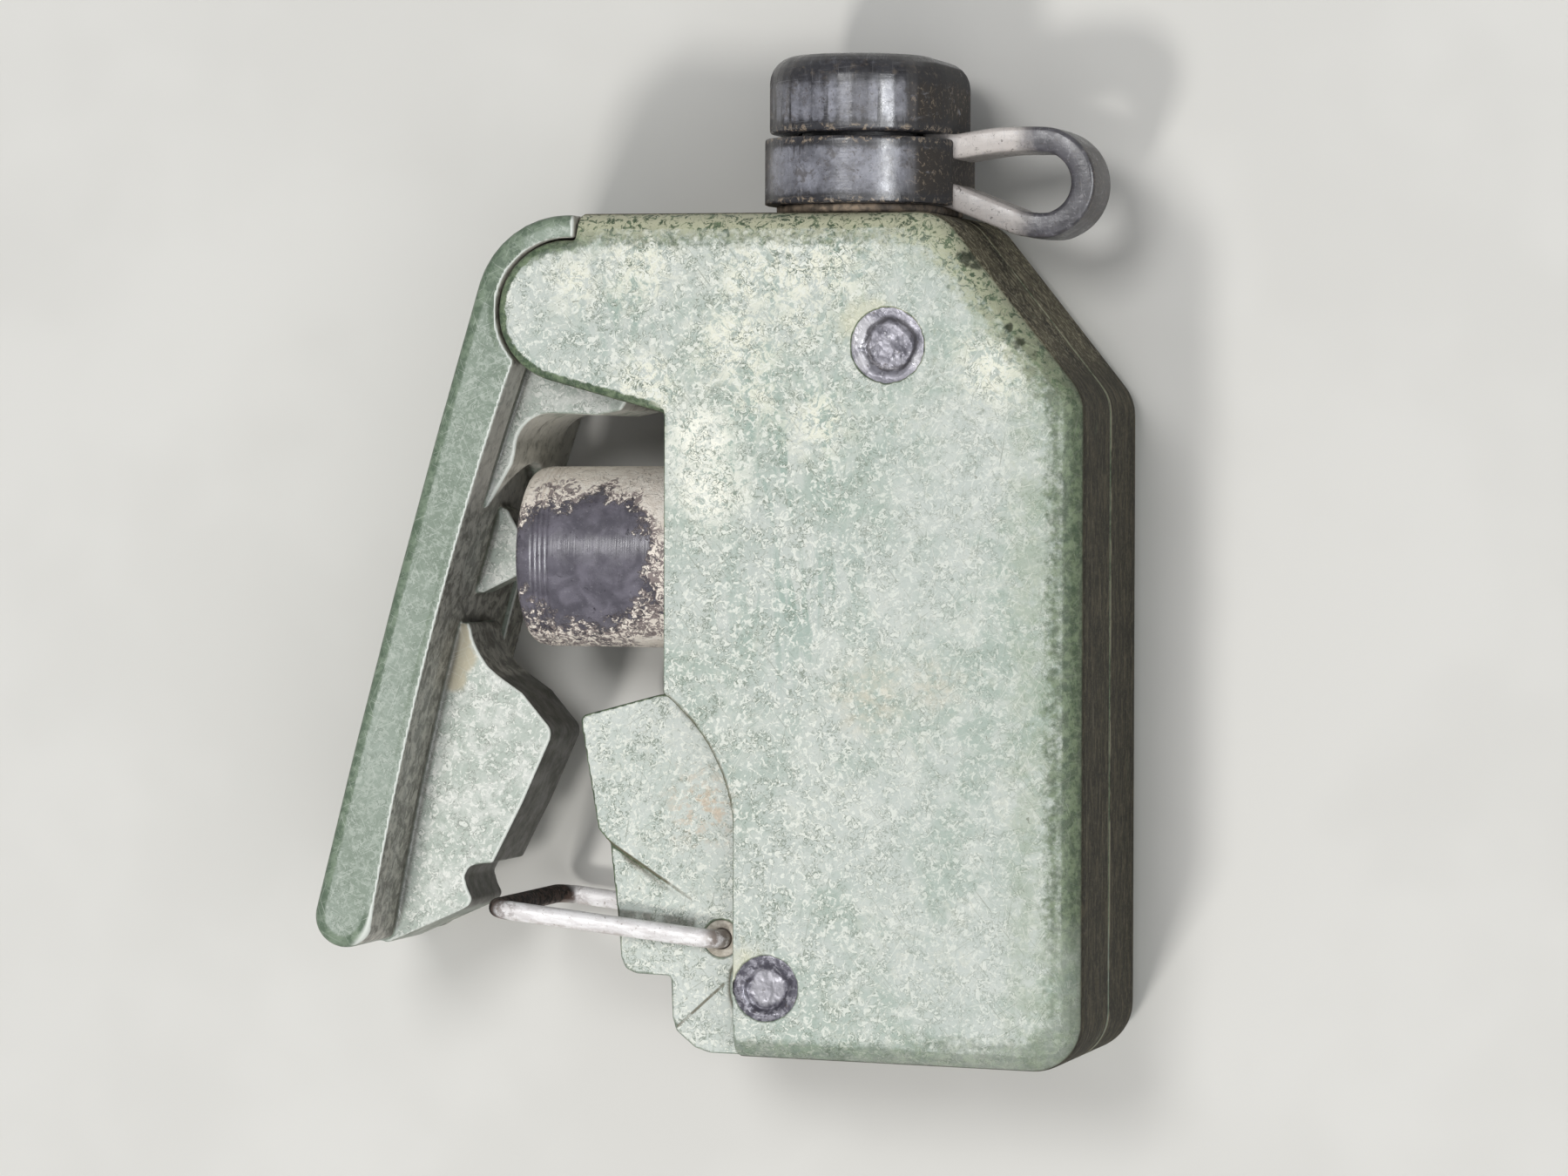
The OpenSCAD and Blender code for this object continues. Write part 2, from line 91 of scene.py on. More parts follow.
def lathe(name, profile, place, sides, shake):
    """A turned piece from (radius, height) points.

    shake makes a point uneven, and place maps (across, across, height) to the row frame.
    """
    points = []
    for radius, height in profile:
        for j in range(sides):
            turn = 2 * math.pi * j / sides
            r, h = shake(radius, height, turn)
            points.append(place(r * math.cos(turn), r * math.sin(turn), h))
    return add_mesh(name, points, grid_faces(len(profile), sides))


def smooth_path(points, step):
    """Points a step apart along a Catmull-Rom curve through points."""
    p = np.asarray(points, float)
    p = np.vstack([2 * p[0] - p[1], p, 2 * p[-1] - p[-2]])
    out = []
    for a, b, c, d in zip(p, p[1:], p[2:], p[3:]):
        count = max(2, int(round(np.linalg.norm(c - b) / step)))
        for t in np.arange(count) / count:
            out.append(0.5 * (2 * b + (c - a) * t + (2 * a - 5 * b + 4 * c - d) * t ** 2
                              + (3 * b - a - 3 * c + d) * t ** 3))
    return np.array(out + [p[-2]])


def sweep(name, path, ring, up=(0, 0, 1)):
    """A bar along path. ring(i) gives its cross section at point i as (side, up) pairs."""
    path = np.asarray(path, float)
    ahead = np.gradient(path, axis=0)
    ahead /= np.linalg.norm(ahead, axis=1)[:, None]
    side = np.cross(ahead[0], up)
    side /= np.linalg.norm(side)
    points = []
    for i, (centre, along) in enumerate(zip(path, ahead)):
        side = side - along * side.dot(along)
        side /= np.linalg.norm(side)
        top = np.cross(side, along)
        for a, b in ring(i):
            points.append(centre + side * a + top * b)
    sides = len(points) // len(path)
    return add_mesh(name, points, grid_faces(len(path), sides))


def apply_modifiers(piece):
    """Puts the modifiers' result in the piece's mesh."""
    shape = bpy.data.meshes.new_from_object(piece.evaluated_get(bpy.context.evaluated_depsgraph_get()))
    piece.modifiers.clear()
    piece.data = shape
    shape.polygons.foreach_set("use_smooth", [True] * len(shape.polygons))


def coordinates(mesh):
    """The vertices' places, one row each."""
    co = np.empty(len(mesh.vertices) * 3, np.float32)
    mesh.vertices.foreach_get("co", co)
    return co.reshape(-1, 3).astype(float)


def normals(mesh):
    """The directions that the surface faces at the vertices, one row each."""
    found = np.empty(len(mesh.vertices) * 3, np.float32)
    mesh.vertex_normals.foreach_get("vector", found)
    return found.reshape(-1, 3).astype(float)


def relax(mesh, values, rounds):
    """values at the vertices, averaged with their neighbours' a number of times."""
    edges = np.empty(len(mesh.edges) * 2, np.int32)
    mesh.edges.foreach_get("vertices", edges)
    a, b = edges.reshape(-1, 2).T
    size = len(mesh.vertices)
    share = np.maximum(np.bincount(a, minlength=size) + np.bincount(b, minlength=size), 1)
    for _ in range(rounds):
        values = np.stack([
            (np.bincount(a, column[b], size) + np.bincount(b, column[a], size)) / share
            for column in values.T
        ], 1)
    return values


def mark_relief(piece, rounds):
    """Writes how far each point lies in a hollow, in millimetres, or with a minus sign on a crest."""
    mesh = piece.data
    co = coordinates(mesh)
    depth = ((relax(mesh, co, rounds) - co) * normals(mesh)).sum(1)
    mesh.attributes.new("relief", "FLOAT", "POINT").data.foreach_set("value", depth.astype(np.float32))


def moulded(name, node, grain, passes, reach=1.25, most=190000):
    """Stands for a CAD node as moulded plastic: a fine even mesh of it, smoothed until its edges are round.

    grain is the mesh size, passes the rounds of smoothing and reach how far a hollow is told from its
    surroundings, in millimetres. most is the largest number of triangles.
    """
    piece = bpy.data.objects.new(name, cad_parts[node].data.copy())
    bpy.context.scene.collection.objects.link(piece)
    piece.data.materials.clear()
    piece.data.transform(Matrix.Scale(1 / MM, 4))
    remesh = piece.modifiers.new("remesh", "REMESH")
    remesh.mode = "VOXEL"
    remesh.voxel_size = grain
    remesh.adaptivity = 0
    soften = piece.modifiers.new("soften", "SMOOTH")
    soften.factor = 0.5
    soften.iterations = passes
    apply_modifiers(piece)
    mark_relief(piece, round((reach / grain) ** 2))
    thin = piece.modifiers.new("thin", "DECIMATE")
    thin.ratio = min(1.0, most / sum(len(face.vertices) - 2 for face in piece.data.polygons))
    apply_modifiers(piece)
    piece.data.transform(Matrix.Scale(MM, 4))
    piece.data.update()
    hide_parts(node)
    return piece


# ---------------------------------------------------------------- materials

class Paint:
    """A material being mixed. Each method adds nodes and returns an output. Lengths are in millimetres."""

    def __init__(self, name, **shader):
        self.material = bpy.data.materials.new(name)
        self.material.use_nodes = True
        self.tree = self.material.node_tree
        self.shader = self.tree.nodes["Principled BSDF"]
        for socket, value in shader.items():
            self.shader.inputs[socket.replace("_", " ")].default_value = value
        where = self.add("ShaderNodeTexCoord")
        self.facing = where.outputs["Normal"]
        self.place = self.vector("SCALE", where.outputs["Object"], scale=1 / MM)
        self.height = None

    def add(self, kind, **settings):
        """A new node."""
        node = self.tree.nodes.new(kind)
        for key, value in settings.items():
            setattr(node, key, value)
        return node

    def feed(self, socket, value):
        """Links a node's output to a socket, or sets the socket to a number, vector or colour."""
        if isinstance(value, bpy.types.NodeSocket):
            self.tree.links.new(value, socket)
        elif hasattr(value, "__len__") and socket.type == "RGBA" and len(value) == 3:
            socket.default_value = (*value, 1)
        else:
            socket.default_value = value

    def vector(self, operation, a, b=None, scale=None):
        node = self.add("ShaderNodeVectorMath", operation=operation)
        self.feed(node.inputs[0], a)
        if b is not None:
            self.feed(node.inputs[1], b)
        if scale is not None:
            node.inputs["Scale"].default_value = scale
        return node.outputs["Value" if operation in ("DISTANCE", "LENGTH", "DOT_PRODUCT") else "Vector"]

    def sums(self, operation, a, b=0.0, c=0.0):
        node = self.add("ShaderNodeMath", operation=operation)
        for socket, value in zip(node.inputs, (a, b, c)):
            self.feed(socket, value)
        return node.outputs[0]

    def both(self, *masks):
        """1 where every mask is 1."""
        out = masks[0]
        for mask in masks[1:]:
            out = self.sums("MULTIPLY", out, mask)
        return out

    def either(self, *masks):
        """The largest of the masks."""
        out = masks[0]
        for mask in masks[1:]:
            out = self.sums("MAXIMUM", out, mask)
        return out

    def along(self, vector, axis):
        """A vector's x, y or z, by its number."""
        node = self.add("ShaderNodeSeparateXYZ")
        self.feed(node.inputs[0], vector)
        return node.outputs[axis]

    def band(self, value, start, end, low=0.0, high=1.0):
        """low up to start, high from end, and smooth between them."""
        node = self.add("ShaderNodeMapRange", interpolation_type="SMOOTHSTEP")
        for key, setting in zip(("Value", "From Min", "From Max", "To Min", "To Max"),
                                (value, start, end, low, high)):
            self.feed(node.inputs[key], setting)
        return node.outputs[0]

    def cloud(self, size, detail=3.0, rough=0.55, warp=0.0, stretch=None, turn=0.0, seed=0.0):
        """Noise around 0.5, with features of a size in millimetres."""
        place = self.place
        if stretch is not None or turn or seed:
            node = self.add("ShaderNodeMapping", vector_type="TEXTURE")
            self.feed(node.inputs["Vector"], place)
            node.inputs["Location"].default_value = (seed * 31, seed * 17, seed * 7)
            node.inputs["Rotation"].default_value = (0, 0, math.radians(turn))
            node.inputs["Scale"].default_value = stretch or (1, 1, 1)
            place = node.outputs[0]
        node = self.add("ShaderNodeTexNoise")
        self.feed(node.inputs["Vector"], place)
        node.inputs["Scale"].default_value = 1 / size
        node.inputs["Detail"].default_value = detail
        node.inputs["Roughness"].default_value = rough
        node.inputs["Distortion"].default_value = warp
        return node.outputs[0]

    def from_point(self, x, y):
        """The distance from a point of the front view."""
        return self.vector("DISTANCE", self.vector("MULTIPLY", self.place, (1, 1, 0)), (x, y, 0))

    def spot(self, x, y, radius, fade, ragged=0.0):
        """1 near a point of the front view, fading out, with a ragged edge."""
        away = self.from_point(x, y)
        if ragged:
            wander = self.sums("SUBTRACT", self.cloud(max(1.0, radius * 0.5), 4), 0.5)
            away = self.sums("MULTIPLY_ADD", wander, ragged * 4, away)
        return self.band(away, radius + fade, radius - fade)

    def spots(self, listed):
        """1 near any of several points, each given as for spot."""
        return self.either(*[self.spot(*one) for one in listed])

    def mix(self, share, a, b, blend="MIX"):
        """Colour a where share is 0, and b where it is 1."""
        node = self.add("ShaderNodeMix", data_type="RGBA", blend_type=blend)
        self.feed(node.inputs[0], share)
        self.feed(node.inputs[6], a)
        self.feed(node.inputs[7], b)
        return node.outputs[2]

    def relief(self):
        """How far a point lies in a hollow, in millimetres. It is below 0 on a crest."""
        return self.add("ShaderNodeAttribute", attribute_name="relief").outputs["Fac"]

    def off(self, value, middle):
        """How far a value lies from a middle one."""
        return self.sums("ABSOLUTE", self.sums("SUBTRACT", value, middle))

    def stroke(self, aside, width):
        """1 closer than a width to a line, with a wavering strength."""
        return self.both(self.band(aside, width, width * 0.4), self.band(self.cloud(1.5, 3), 0.3, 0.55, 0.4))

    def line(self, x0, y0, x1, y1, width):
        """1 on a thin straight line of the front view, with a wavering strength."""
        length = math.hypot(x1 - x0, y1 - y0)
        ahead = ((x1 - x0) / length, (y1 - y0) / length)
        shifted = self.vector("SUBTRACT", self.place, (x0, y0, 0))
        aside = self.sums("ABSOLUTE", self.vector("DOT_PRODUCT", shifted, (-ahead[1], ahead[0], 0)))
        along = self.vector("DOT_PRODUCT", shifted, (*ahead, 0))
        ends = self.both(self.band(along, 0, 0.5), self.band(along, length, length - 0.5))
        return self.both(self.stroke(aside, width), ends)

    def arc(self, x, y, radius, width):
        """1 on a thin circle of the front view, with a wavering strength."""
        return self.stroke(self.off(self.from_point(x, y), radius), width)

    def scratches(self, turns, length, width, cut=0.66):
        """Thin straight marks in several directions."""
        marks = [
            self.band(self.cloud(1, 1, 0.4, 0.1, (length, width, length), turn, 3 + turn), cut, cut + 0.05)
            for turn in turns
        ]
        return self.either(*marks)

    def bump(self, height, depth):
        """Adds relief as shading. depth is in millimetres for a height of 1."""
        node = self.add("ShaderNodeBump")
        node.inputs["Strength"].default_value = 1
        node.inputs["Distance"].default_value = depth * MM
        self.feed(node.inputs["Height"], height)
        if self.height is not None:
            self.feed(node.inputs["Normal"], self.height)
        self.height = node.outputs[0]

    def done(self, colour, roughness=None):
        """Connects the shader and returns the material."""
        self.feed(self.shader.inputs["Base Color"], colour)
        if roughness is not None:
            self.feed(self.shader.inputs["Roughness"], roughness)
        if self.height is not None:
            self.feed(self.shader.inputs["Normal"], self.height)
        return self.material


SOIL = (0.026, 0.022, 0.013)
SOIL_PALE = (0.085, 0.073, 0.045)


def speckled(p, colour, light, dark, amount=1.0):
    """The speckle of the worn moulding: pale crumbs with broken dark outlines, and fine pits."""
    grains = p.cloud(0.65, 2, 0.6, 1.1)
    broken = p.band(p.cloud(1.9, 3, 0.6, seed=2), 0.44, 0.58)
    pale = p.both(p.band(grains, 0.53, 0.57), p.band(p.cloud(0.5, 2, 0.6, seed=3), 0.38, 0.5))
    outline = p.band(p.off(grains, 0.505), 0.045, 0.02)
    pits = p.band(p.cloud(0.4, 3, 0.7, 0.8, seed=4), 0.58, 0.66)
    colour = p.mix(p.both(pale, amount), colour, light)
    colour = p.mix(p.both(outline, broken, amount), colour, dark)
    return p.mix(p.both(pits, amount, 0.5), colour, dark)


def soiled_walls(p, colour):
    """Brown dirt with streaks and pale crumbs on the walls that face sideways."""
    upright = p.sums("ABSOLUTE", p.along(p.facing, 2))
    wall = p.band(upright, 0.42, 0.16)
    rubbed = p.cloud(1, 5, 0.7, 0.5, (3.5, 3.5, 1.2), seed=4)
    dirt = p.mix(p.band(rubbed, 0.42, 0.7), SOIL, SOIL_PALE)
    streaks = p.band(p.cloud(1, 4, 0.7, 0.2, (14, 14, 0.35), seed=7), 0.6, 0.72, 0, 0.6)
    dirt = p.mix(streaks, dirt, (0.22, 0.2, 0.14))
    crumbs = p.band(p.cloud(0.7, 4, 0.7, 1, seed=9), 0.5, 0.6)
    shoulder = p.band(p.along(p.place, 1), 17, 24)
    pale_zone = p.both(shoulder, p.band(p.cloud(4, 4, 0.6, seed=10), 0.35, 0.6), 0.7)
    dirt = p.mix(pale_zone, dirt, (0.12, 0.105, 0.065))
    dirt = p.mix(p.both(crumbs, p.band(shoulder, 0, 1, 0.1, 0.7)), dirt, (0.38, 0.345, 0.235))
    return p.mix(p.both(wall, p.band(p.cloud(5, 4, 0.6, seed=5), 0.2, 0.36, 0.72, 1)), colour, dirt)


def body_plastic():
    """Pale grey-green plastic: speckled, stained, cream where it is rubbed and dark on its walls."""
    p = Paint("body_plastic", Roughness=0.5, Specular_IOR_Level=0.2)
    x, y = p.along(p.place, 0), p.along(p.place, 1)
    upright = p.sums("ABSOLUTE", p.along(p.facing, 2))
    hollow = p.relief()
    broad = p.cloud(13, 4, 0.6, 0.4)
    middle = p.cloud(3.6, 5, 0.65, 0.5, seed=1)
    colour = p.mix(p.band(broad, 0.38, 0.58), (0.375, 0.44, 0.39), (0.49, 0.53, 0.495))
    colour = p.mix(p.band(middle, 0.44, 0.62, 0, 0.7), colour, (0.56, 0.59, 0.55))
    tongue = p.band(p.along(p.place, 2), THICK - 3, THICK - 6)
    colour = p.mix(p.both(tongue, p.band(upright, 0.5, 0.9), 0.55), colour, (0.60, 0.635, 0.60))
    # Darker streaks that run down the middle of the face
    streaks = p.cloud(1, 4, 0.6, 0.6, (1.8, 13, 5), turn=4, seed=6)
    zone = p.spots([(9, 12, 9, 7), (11, -4, 7, 7), (-6.5, 24, 4.2, 3), (14, 28, 6, 5)])
    colour = p.mix(p.both(zone, p.band(streaks, 0.47, 0.6, 0, 0.8)), colour, (0.29, 0.38, 0.33))
    # Cream wear, thickest on the ear, along the top and beside the plunger
    cream_zone = p.either(
        p.spots([(6.2, 28.5, 3.6, 3, 1.5), (4.8, 21.5, 4.5, 3, 1.5), (11.4, 24, 2.2, 2.5, 1),
                 (7, 16.5, 2.5, 3, 1), (-5.5, 30, 4, 3, 1.2), (-4.6, 17.4, 3.4, 2, 1), (-12, 28, 2.5, 3, 1),
                 (31.5, 19.5, 4, 3, 1), (13, 14, 3, 3, 1.5), (12, 31.5, 7, 4, 1.5)]),
        p.band(y, 31, 34, 0, 0.9))
    palm = p.both(p.spots([(1, 12, 3.2, 2, 1), (2, 7, 3.5, 2.4, 1)]),
                  p.band(p.cloud(0.7, 4, 0.75, 1, seed=16), 0.4, 0.5))
    flecks = p.cloud(1.5, 5, 0.75, 1.2, seed=3)
    cream = p.both(cream_zone, p.band(flecks, 0.44, 0.54))
    colour = p.mix(p.both(cream, 0.92), colour, (0.79, 0.785, 0.665))
    colour = p.mix(p.both(palm, 0.95), colour, (0.9, 0.89, 0.79))
    thin_cream = p.both(p.band(p.cloud(7, 3, 0.6, seed=8), 0.45, 0.65), p.band(flecks, 0.5, 0.62))
    colour = p.mix(p.both(thin_cream, 0.4), colour, (0.64, 0.645, 0.555))
    rough_zone = p.either(p.band(x, 27, 8, 0.5, 0.8), cream_zone, palm)
    colour = speckled(p, colour, (0.74, 0.755, 0.69), (0.2, 0.235, 0.19), rough_zone)
    # Stains
    stain = p.either(p.spot(18.4, -13.6, 3.2, 2.6, 1.2), p.spot(25, -12.6, 2, 2.4, 1))
    colour = p.mix(p.both(stain, p.band(p.cloud(1.1, 4, 0.7), 0.35, 0.65), 0.55), colour, (0.66, 0.60, 0.48))
    rust = p.both(p.spot(0.2, -25.2, 3.4, 2.6, 1), p.band(p.cloud(0.9, 4, 0.75, seed=9), 0.47, 0.62))
    colour = p.mix(p.both(rust, 0.6), colour, (0.56, 0.41, 0.28))
    halo = p.spots([(18, 23.6, 2.4, 1.2, 0.9), (5.9, -41, 2, 1.2, 0.9), (16.4, 34.4, 1.2, 1, 0.9)])
    colour = p.mix(p.both(halo, 0.55), colour, (0.64, 0.62, 0.45))
    # The rounded edges have lost their bloom and show the darker green
    wander = p.sums("MULTIPLY", p.sums("SUBTRACT", p.cloud(0.9, 4, 0.7, seed=11), 0.5), 0.22)
    rim = p.band(p.sums("ADD", wander, upright), 0.965, 0.86)
    ear = p.both(p.band(x, -1.5, -5), p.band(y, 9, 13))
    bent = p.sums("MULTIPLY_ADD", wander, 1.1, hollow)
    rivets = p.spots([(*UPPER_RIVET, 5, 0.5), (*LOWER_RIVET, 4.5, 0.5)])
    right_side = p.both(p.either(p.band(x, 20, 24), p.band(y, 28, 31)), p.band(rivets, 1, 0))
    rim = p.either(rim, p.both(ear, p.band(bent, -0.11, -0.18)),
                   p.both(right_side, p.band(bent, -0.01, -0.1), 0.9))
    rim = p.both(rim, p.band(y, -34, -40, 1, 0.6))
    green = p.mix(p.band(p.cloud(1.1, 4, 0.7, seed=10), 0.42, 0.62),
                  (0.038, 0.068, 0.03), (0.135, 0.185, 0.1))
    yellow_zone = p.either(p.band(y, 31, 34), p.both(p.band(y, 12, 32, 0.05, 0.8), p.band(x, 15, 22)))
    yellowed = p.both(yellow_zone, p.band(p.cloud(0.9, 4, 0.75, 1, seed=12), 0.43, 0.5))
    green = p.mix(p.both(yellowed, 0.85), green, (0.62, 0.61, 0.43))
    # The face is greener towards its edges
    near_edge = p.either(p.band(y, 31, 34.5), p.band(x, 31, 34.5), p.band(p.sums("ADD", x, y), 50, 56))
    near_edge = p.both(near_edge, p.band(p.cloud(2.2, 4, 0.7, seed=17), 0.38, 0.6, 0.2, 1))
    colour = p.mix(p.both(near_edge, 0.45), colour, (0.27, 0.33, 0.23))
    colour = p.mix(p.both(rim, 0.92), colour, green)
    # Black specks by the shoulder
    specks = p.spots([(28.0, 30.0, 0.75, 0.3, 0.5), (28.9, 29.4, 0.6, 0.3, 0.5), (32.4, 23.2, 0.35, 0.2, 0.4),
                      (33.6, 21.7, 0.6, 0.3, 0.5), (34.9, 20.4, 0.3, 0.2, 0.4)])
    colour = p.mix(p.both(specks, 0.9), colour, (0.03, 0.035, 0.02))
    nicks = p.both(p.band(p.cloud(0.7, 3, 0.7, 0.8, seed=13), 0.64, 0.69),
                   p.band(p.cloud(6, 2, seed=14), 0.5, 0.62))
    colour = p.mix(p.both(nicks, 0.6), colour, (0.13, 0.14, 0.10))
    # Fine scratches, a little lighter than the face, and a few dark ones
    pale_marks = p.scratches((12, 58, 104, 151), 3.2, 0.16)
    colour = p.mix(p.both(pale_marks, p.band(rim, 0.5, 0, 0.05, 0.3)), colour, (0.76, 0.77, 0.7))
    dark_marks = p.scratches((33, 80, 128), 4.5, 0.13, 0.7)
    colour = p.mix(p.both(dark_marks, 0.45), colour, (0.2, 0.22, 0.17))
    # Dark lines in the foot of the step and along the edges of the bail's recess: painted shade with dirt
    step = p.both(p.arc(-13.5, -28, 18.1, 0.3), p.band(x, -3.5, -1.5), p.band(y, -27, -24), 0.8)
    crease_shade_and_dirt = p.either(step, p.line(-10.8, -28.2, -1.1, -34.6, 0.2), p.line(2.4, -42.8, -2.9, -47.6, 0.2))
    colour = p.mix(p.both(crease_shade_and_dirt, 0.85), colour, (0.13, 0.115, 0.075))
    # Painted shadow of the resting bail: a dark line on the tongue just above the arm
    colour = p.mix(p.both(p.line(-10.2, -36.05, -0.6, -36.9, 0.7), tongue, 0.7), colour, (0.07, 0.065, 0.045))
    # Dirt on the side walls, with the pale flash of the moulding line, and painted shade with dirt in the
    # creases
    colour = soiled_walls(p, colour)
    line = p.both(p.band(upright, 0.5, 0.3), p.band(p.off(p.along(p.place, 2), MID), 0.75, 0.35),
                  p.band(p.cloud(1, 3, 0.6, 0, (5, 5, 5), seed=14), 0.42, 0.56))
    colour = p.mix(p.both(line, 0.7), colour, (0.36, 0.335, 0.24))
    # Painted shade with dirt: darker in the hollows, less so by the rivets
    dirt_and_shade_in_creases = p.both(p.band(hollow, 0.03, 0.12), p.band(rivets, 0, 1, 0.85, 0.25))
    colour = p.mix(dirt_and_shade_in_creases, colour, (0.09, 0.08, 0.05))
    p.bump(p.cloud(0.55, 4, 0.75, 0.5), 0.035)
    p.bump(p.cloud(5, 2, 0.5), 0.12)
    p.bump(pale_marks, 0.012)
    gloss = p.band(p.cloud(2.2, 4, 0.6, seed=15), 0.3, 0.7, 0.44, 0.66)
    wall = p.band(upright, 0.6, 0.2)
    rough = p.either(p.both(gloss, p.band(rim, 0.2, 0.8, 1, 0.8)), p.both(wall, 0.8))
    return p.done(colour, rough)


def lever_plastic():
    """The smoother, darker green of the lever, with a chalky tooth and hub, a dirty channel, and painted
    light under the hub.
    """
    p = Paint("lever_plastic", Roughness=0.42, Specular_IOR_Level=0.5)
    y = p.along(p.place, 1)
    upright = p.sums("ABSOLUTE", p.along(p.facing, 2))
    sideways = p.along(p.facing, 0)
    front = p.band(upright, 0.6, 0.9)
    hollow = p.relief()
    # Greener at the top than at the lower end
    broad = p.band(p.cloud(11, 3, 0.55, 0.5, (1, 2.2, 1), turn=15), 0.35, 0.65)
    upper = p.mix(broad, (0.195, 0.245, 0.192), (0.262, 0.315, 0.258))
    lower = p.mix(broad, (0.225, 0.274, 0.22), (0.31, 0.36, 0.31))
    colour = p.mix(p.band(p.sums("MULTIPLY_ADD", p.cloud(6, 3, seed=9), 10, y), 22, -8), upper, lower)
    colour = p.mix(p.band(p.cloud(1.1, 4, 0.7, 0.8), 0.47, 0.62, 0, 0.4), colour, (0.43, 0.475, 0.42))
    colour = speckled(p, colour, (0.48, 0.52, 0.465), (0.13, 0.165, 0.125), 0.4)
    # The tooth's and the hub's own faces are chalkier than the rails
    depth = p.off(p.along(p.place, 2), MID)
    inner = p.both(p.band(depth, 10.5, 9.5), front)
    chalk = p.mix(p.band(p.cloud(2.4, 5, 0.7, 0.8, seed=3), 0.4, 0.66), (0.43, 0.48, 0.43), (0.62, 0.64, 0.6))
    chalk = speckled(p, chalk, (0.78, 0.785, 0.74), (0.22, 0.245, 0.21), 0.7)
    hub = p.band(y, 4, 7)
    chalk = p.mix(hub, chalk, (0.8, 0.8, 0.8), "MULTIPLY")
    colour = p.mix(inner, colour, chalk)
    # Tan wear where a finger rubs the tooth's cusp
    worn = p.spots([(-27.2, -8.2, 1.5, 0.4, 0.15), (-27.4, -10.4, 1.8, 0.4, 0.15),
                    (-27.9, -12.6, 1.3, 0.4, 0.15)])
    cusp = p.both(worn, inner)
    colour = p.mix(p.both(cusp, 0.9), colour, (0.5, 0.455, 0.335))
    # Outer edges, where the darker green shows
    wander = p.sums("MULTIPLY", p.sums("SUBTRACT", p.cloud(0.8, 4, 0.7, seed=5), 0.5), 0.2)
    across = p.vector("DOT_PRODUCT", p.place, (1, -LEVER_LEAN, 0))
    away = p.from_point(*LEVER_PIVOT)
    outward = p.either(p.band(across, -25.2, -26.2), p.both(p.band(away, 8.3, 8.8), p.band(y, 17, 20)),
                       p.band(y, -35.5, -37))
    rim = p.both(outward, p.band(depth, 12, 13.5),
                 p.either(p.band(p.sums("ADD", wander, upright), 0.965, 0.85),
                          p.band(p.sums("MULTIPLY_ADD", wander, 0.5, hollow), -0.05, -0.1)))
    green = p.mix(p.band(p.cloud(1.2, 4, 0.7, seed=6), 0.4, 0.62), (0.07, 0.11, 0.066), (0.17, 0.225, 0.155))
    colour = p.mix(p.both(rim, 0.85), colour, green)
    # Dirt in the channel and on the walls that face the body
    inward = p.band(sideways, 0.25, 0.6)
    dirt = p.mix(p.band(p.cloud(1.4, 5, 0.7, 0.5, seed=7), 0.4, 0.62), (0.16, 0.15, 0.125),
                 (0.5, 0.48, 0.42))
    dirt = p.mix(p.band(p.cloud(0.6, 4, 0.7, 0.5, seed=10), 0.58, 0.66, 0, 0.6), dirt, (0.07, 0.062, 0.045))
    # The tooth's own edge is the darkest. The hub's hollow and underside are painted pale: painted light on
    # walls that face away from the lamps
    tooth = p.both(p.band(across, -20.5, -19.5), p.band(y, -4, -7))
    dirt = p.mix(p.both(tooth, 0.8), dirt, (0.04, 0.036, 0.028))
    dirt = p.mix(p.both(hub, p.band(p.cloud(1.6, 4, 0.7, seed=11), 0.36, 0.56), 0.7), dirt, (0.62, 0.6, 0.53))
    colour = p.mix(p.both(inward, p.band(upright, 0.6, 0.3), 0.94), colour, dirt)
    # Painted light: the hub's downward faces are painted pale in patches
    painted_light_under_hub = p.both(hub, p.band(upright, 0.6, 0.3), p.band(p.along(p.facing, 1), -0.1, -0.5))
    patchy = p.band(p.cloud(1.8, 4, 0.7, seed=12), 0.4, 0.56, 0.25, 0.85)
    colour = p.mix(p.both(painted_light_under_hub, patchy), colour, (0.72, 0.7, 0.63))
    # Painted shade with dirt in the hollows
    colour = p.mix(p.band(hollow, 0.08, 0.25, 0, 0.7), colour, (0.07, 0.065, 0.045))
    # The rails' inner edge is pale: rubbed wear with a painted highlight
    worn_and_highlit_crest = p.both(p.band(hollow, -0.05, -0.12), p.band(sideways, 0.1, 0.4), p.band(upright, 0.2, 0.5))
    colour = p.mix(p.both(worn_and_highlit_crest, 0.85), colour, (0.76, 0.79, 0.74))
    # The ring left by the mould's ejector pin
    ring = p.off(p.from_point(-20.9, 16.9), 1.55)
    ring = p.both(p.band(ring, 0.16, 0.05), p.band(depth, 14, 15))
    colour = p.mix(p.both(ring, 0.35), colour, (0.17, 0.22, 0.17))
    marks = p.scratches((23, 68, 112, 151), 3.5, 0.13, 0.67)
    colour = p.mix(p.both(marks, front, 0.3), colour, (0.62, 0.65, 0.6))
    p.bump(p.cloud(0.6, 4, 0.7, 0.4), 0.02)
    p.bump(p.cloud(6, 2, 0.5), 0.1)
    p.bump(ring, -0.03)
    rough = p.band(p.cloud(2.5, 4, 0.6, seed=8), 0.3, 0.7, 0.36, 0.58)
    return p.done(colour, rough)


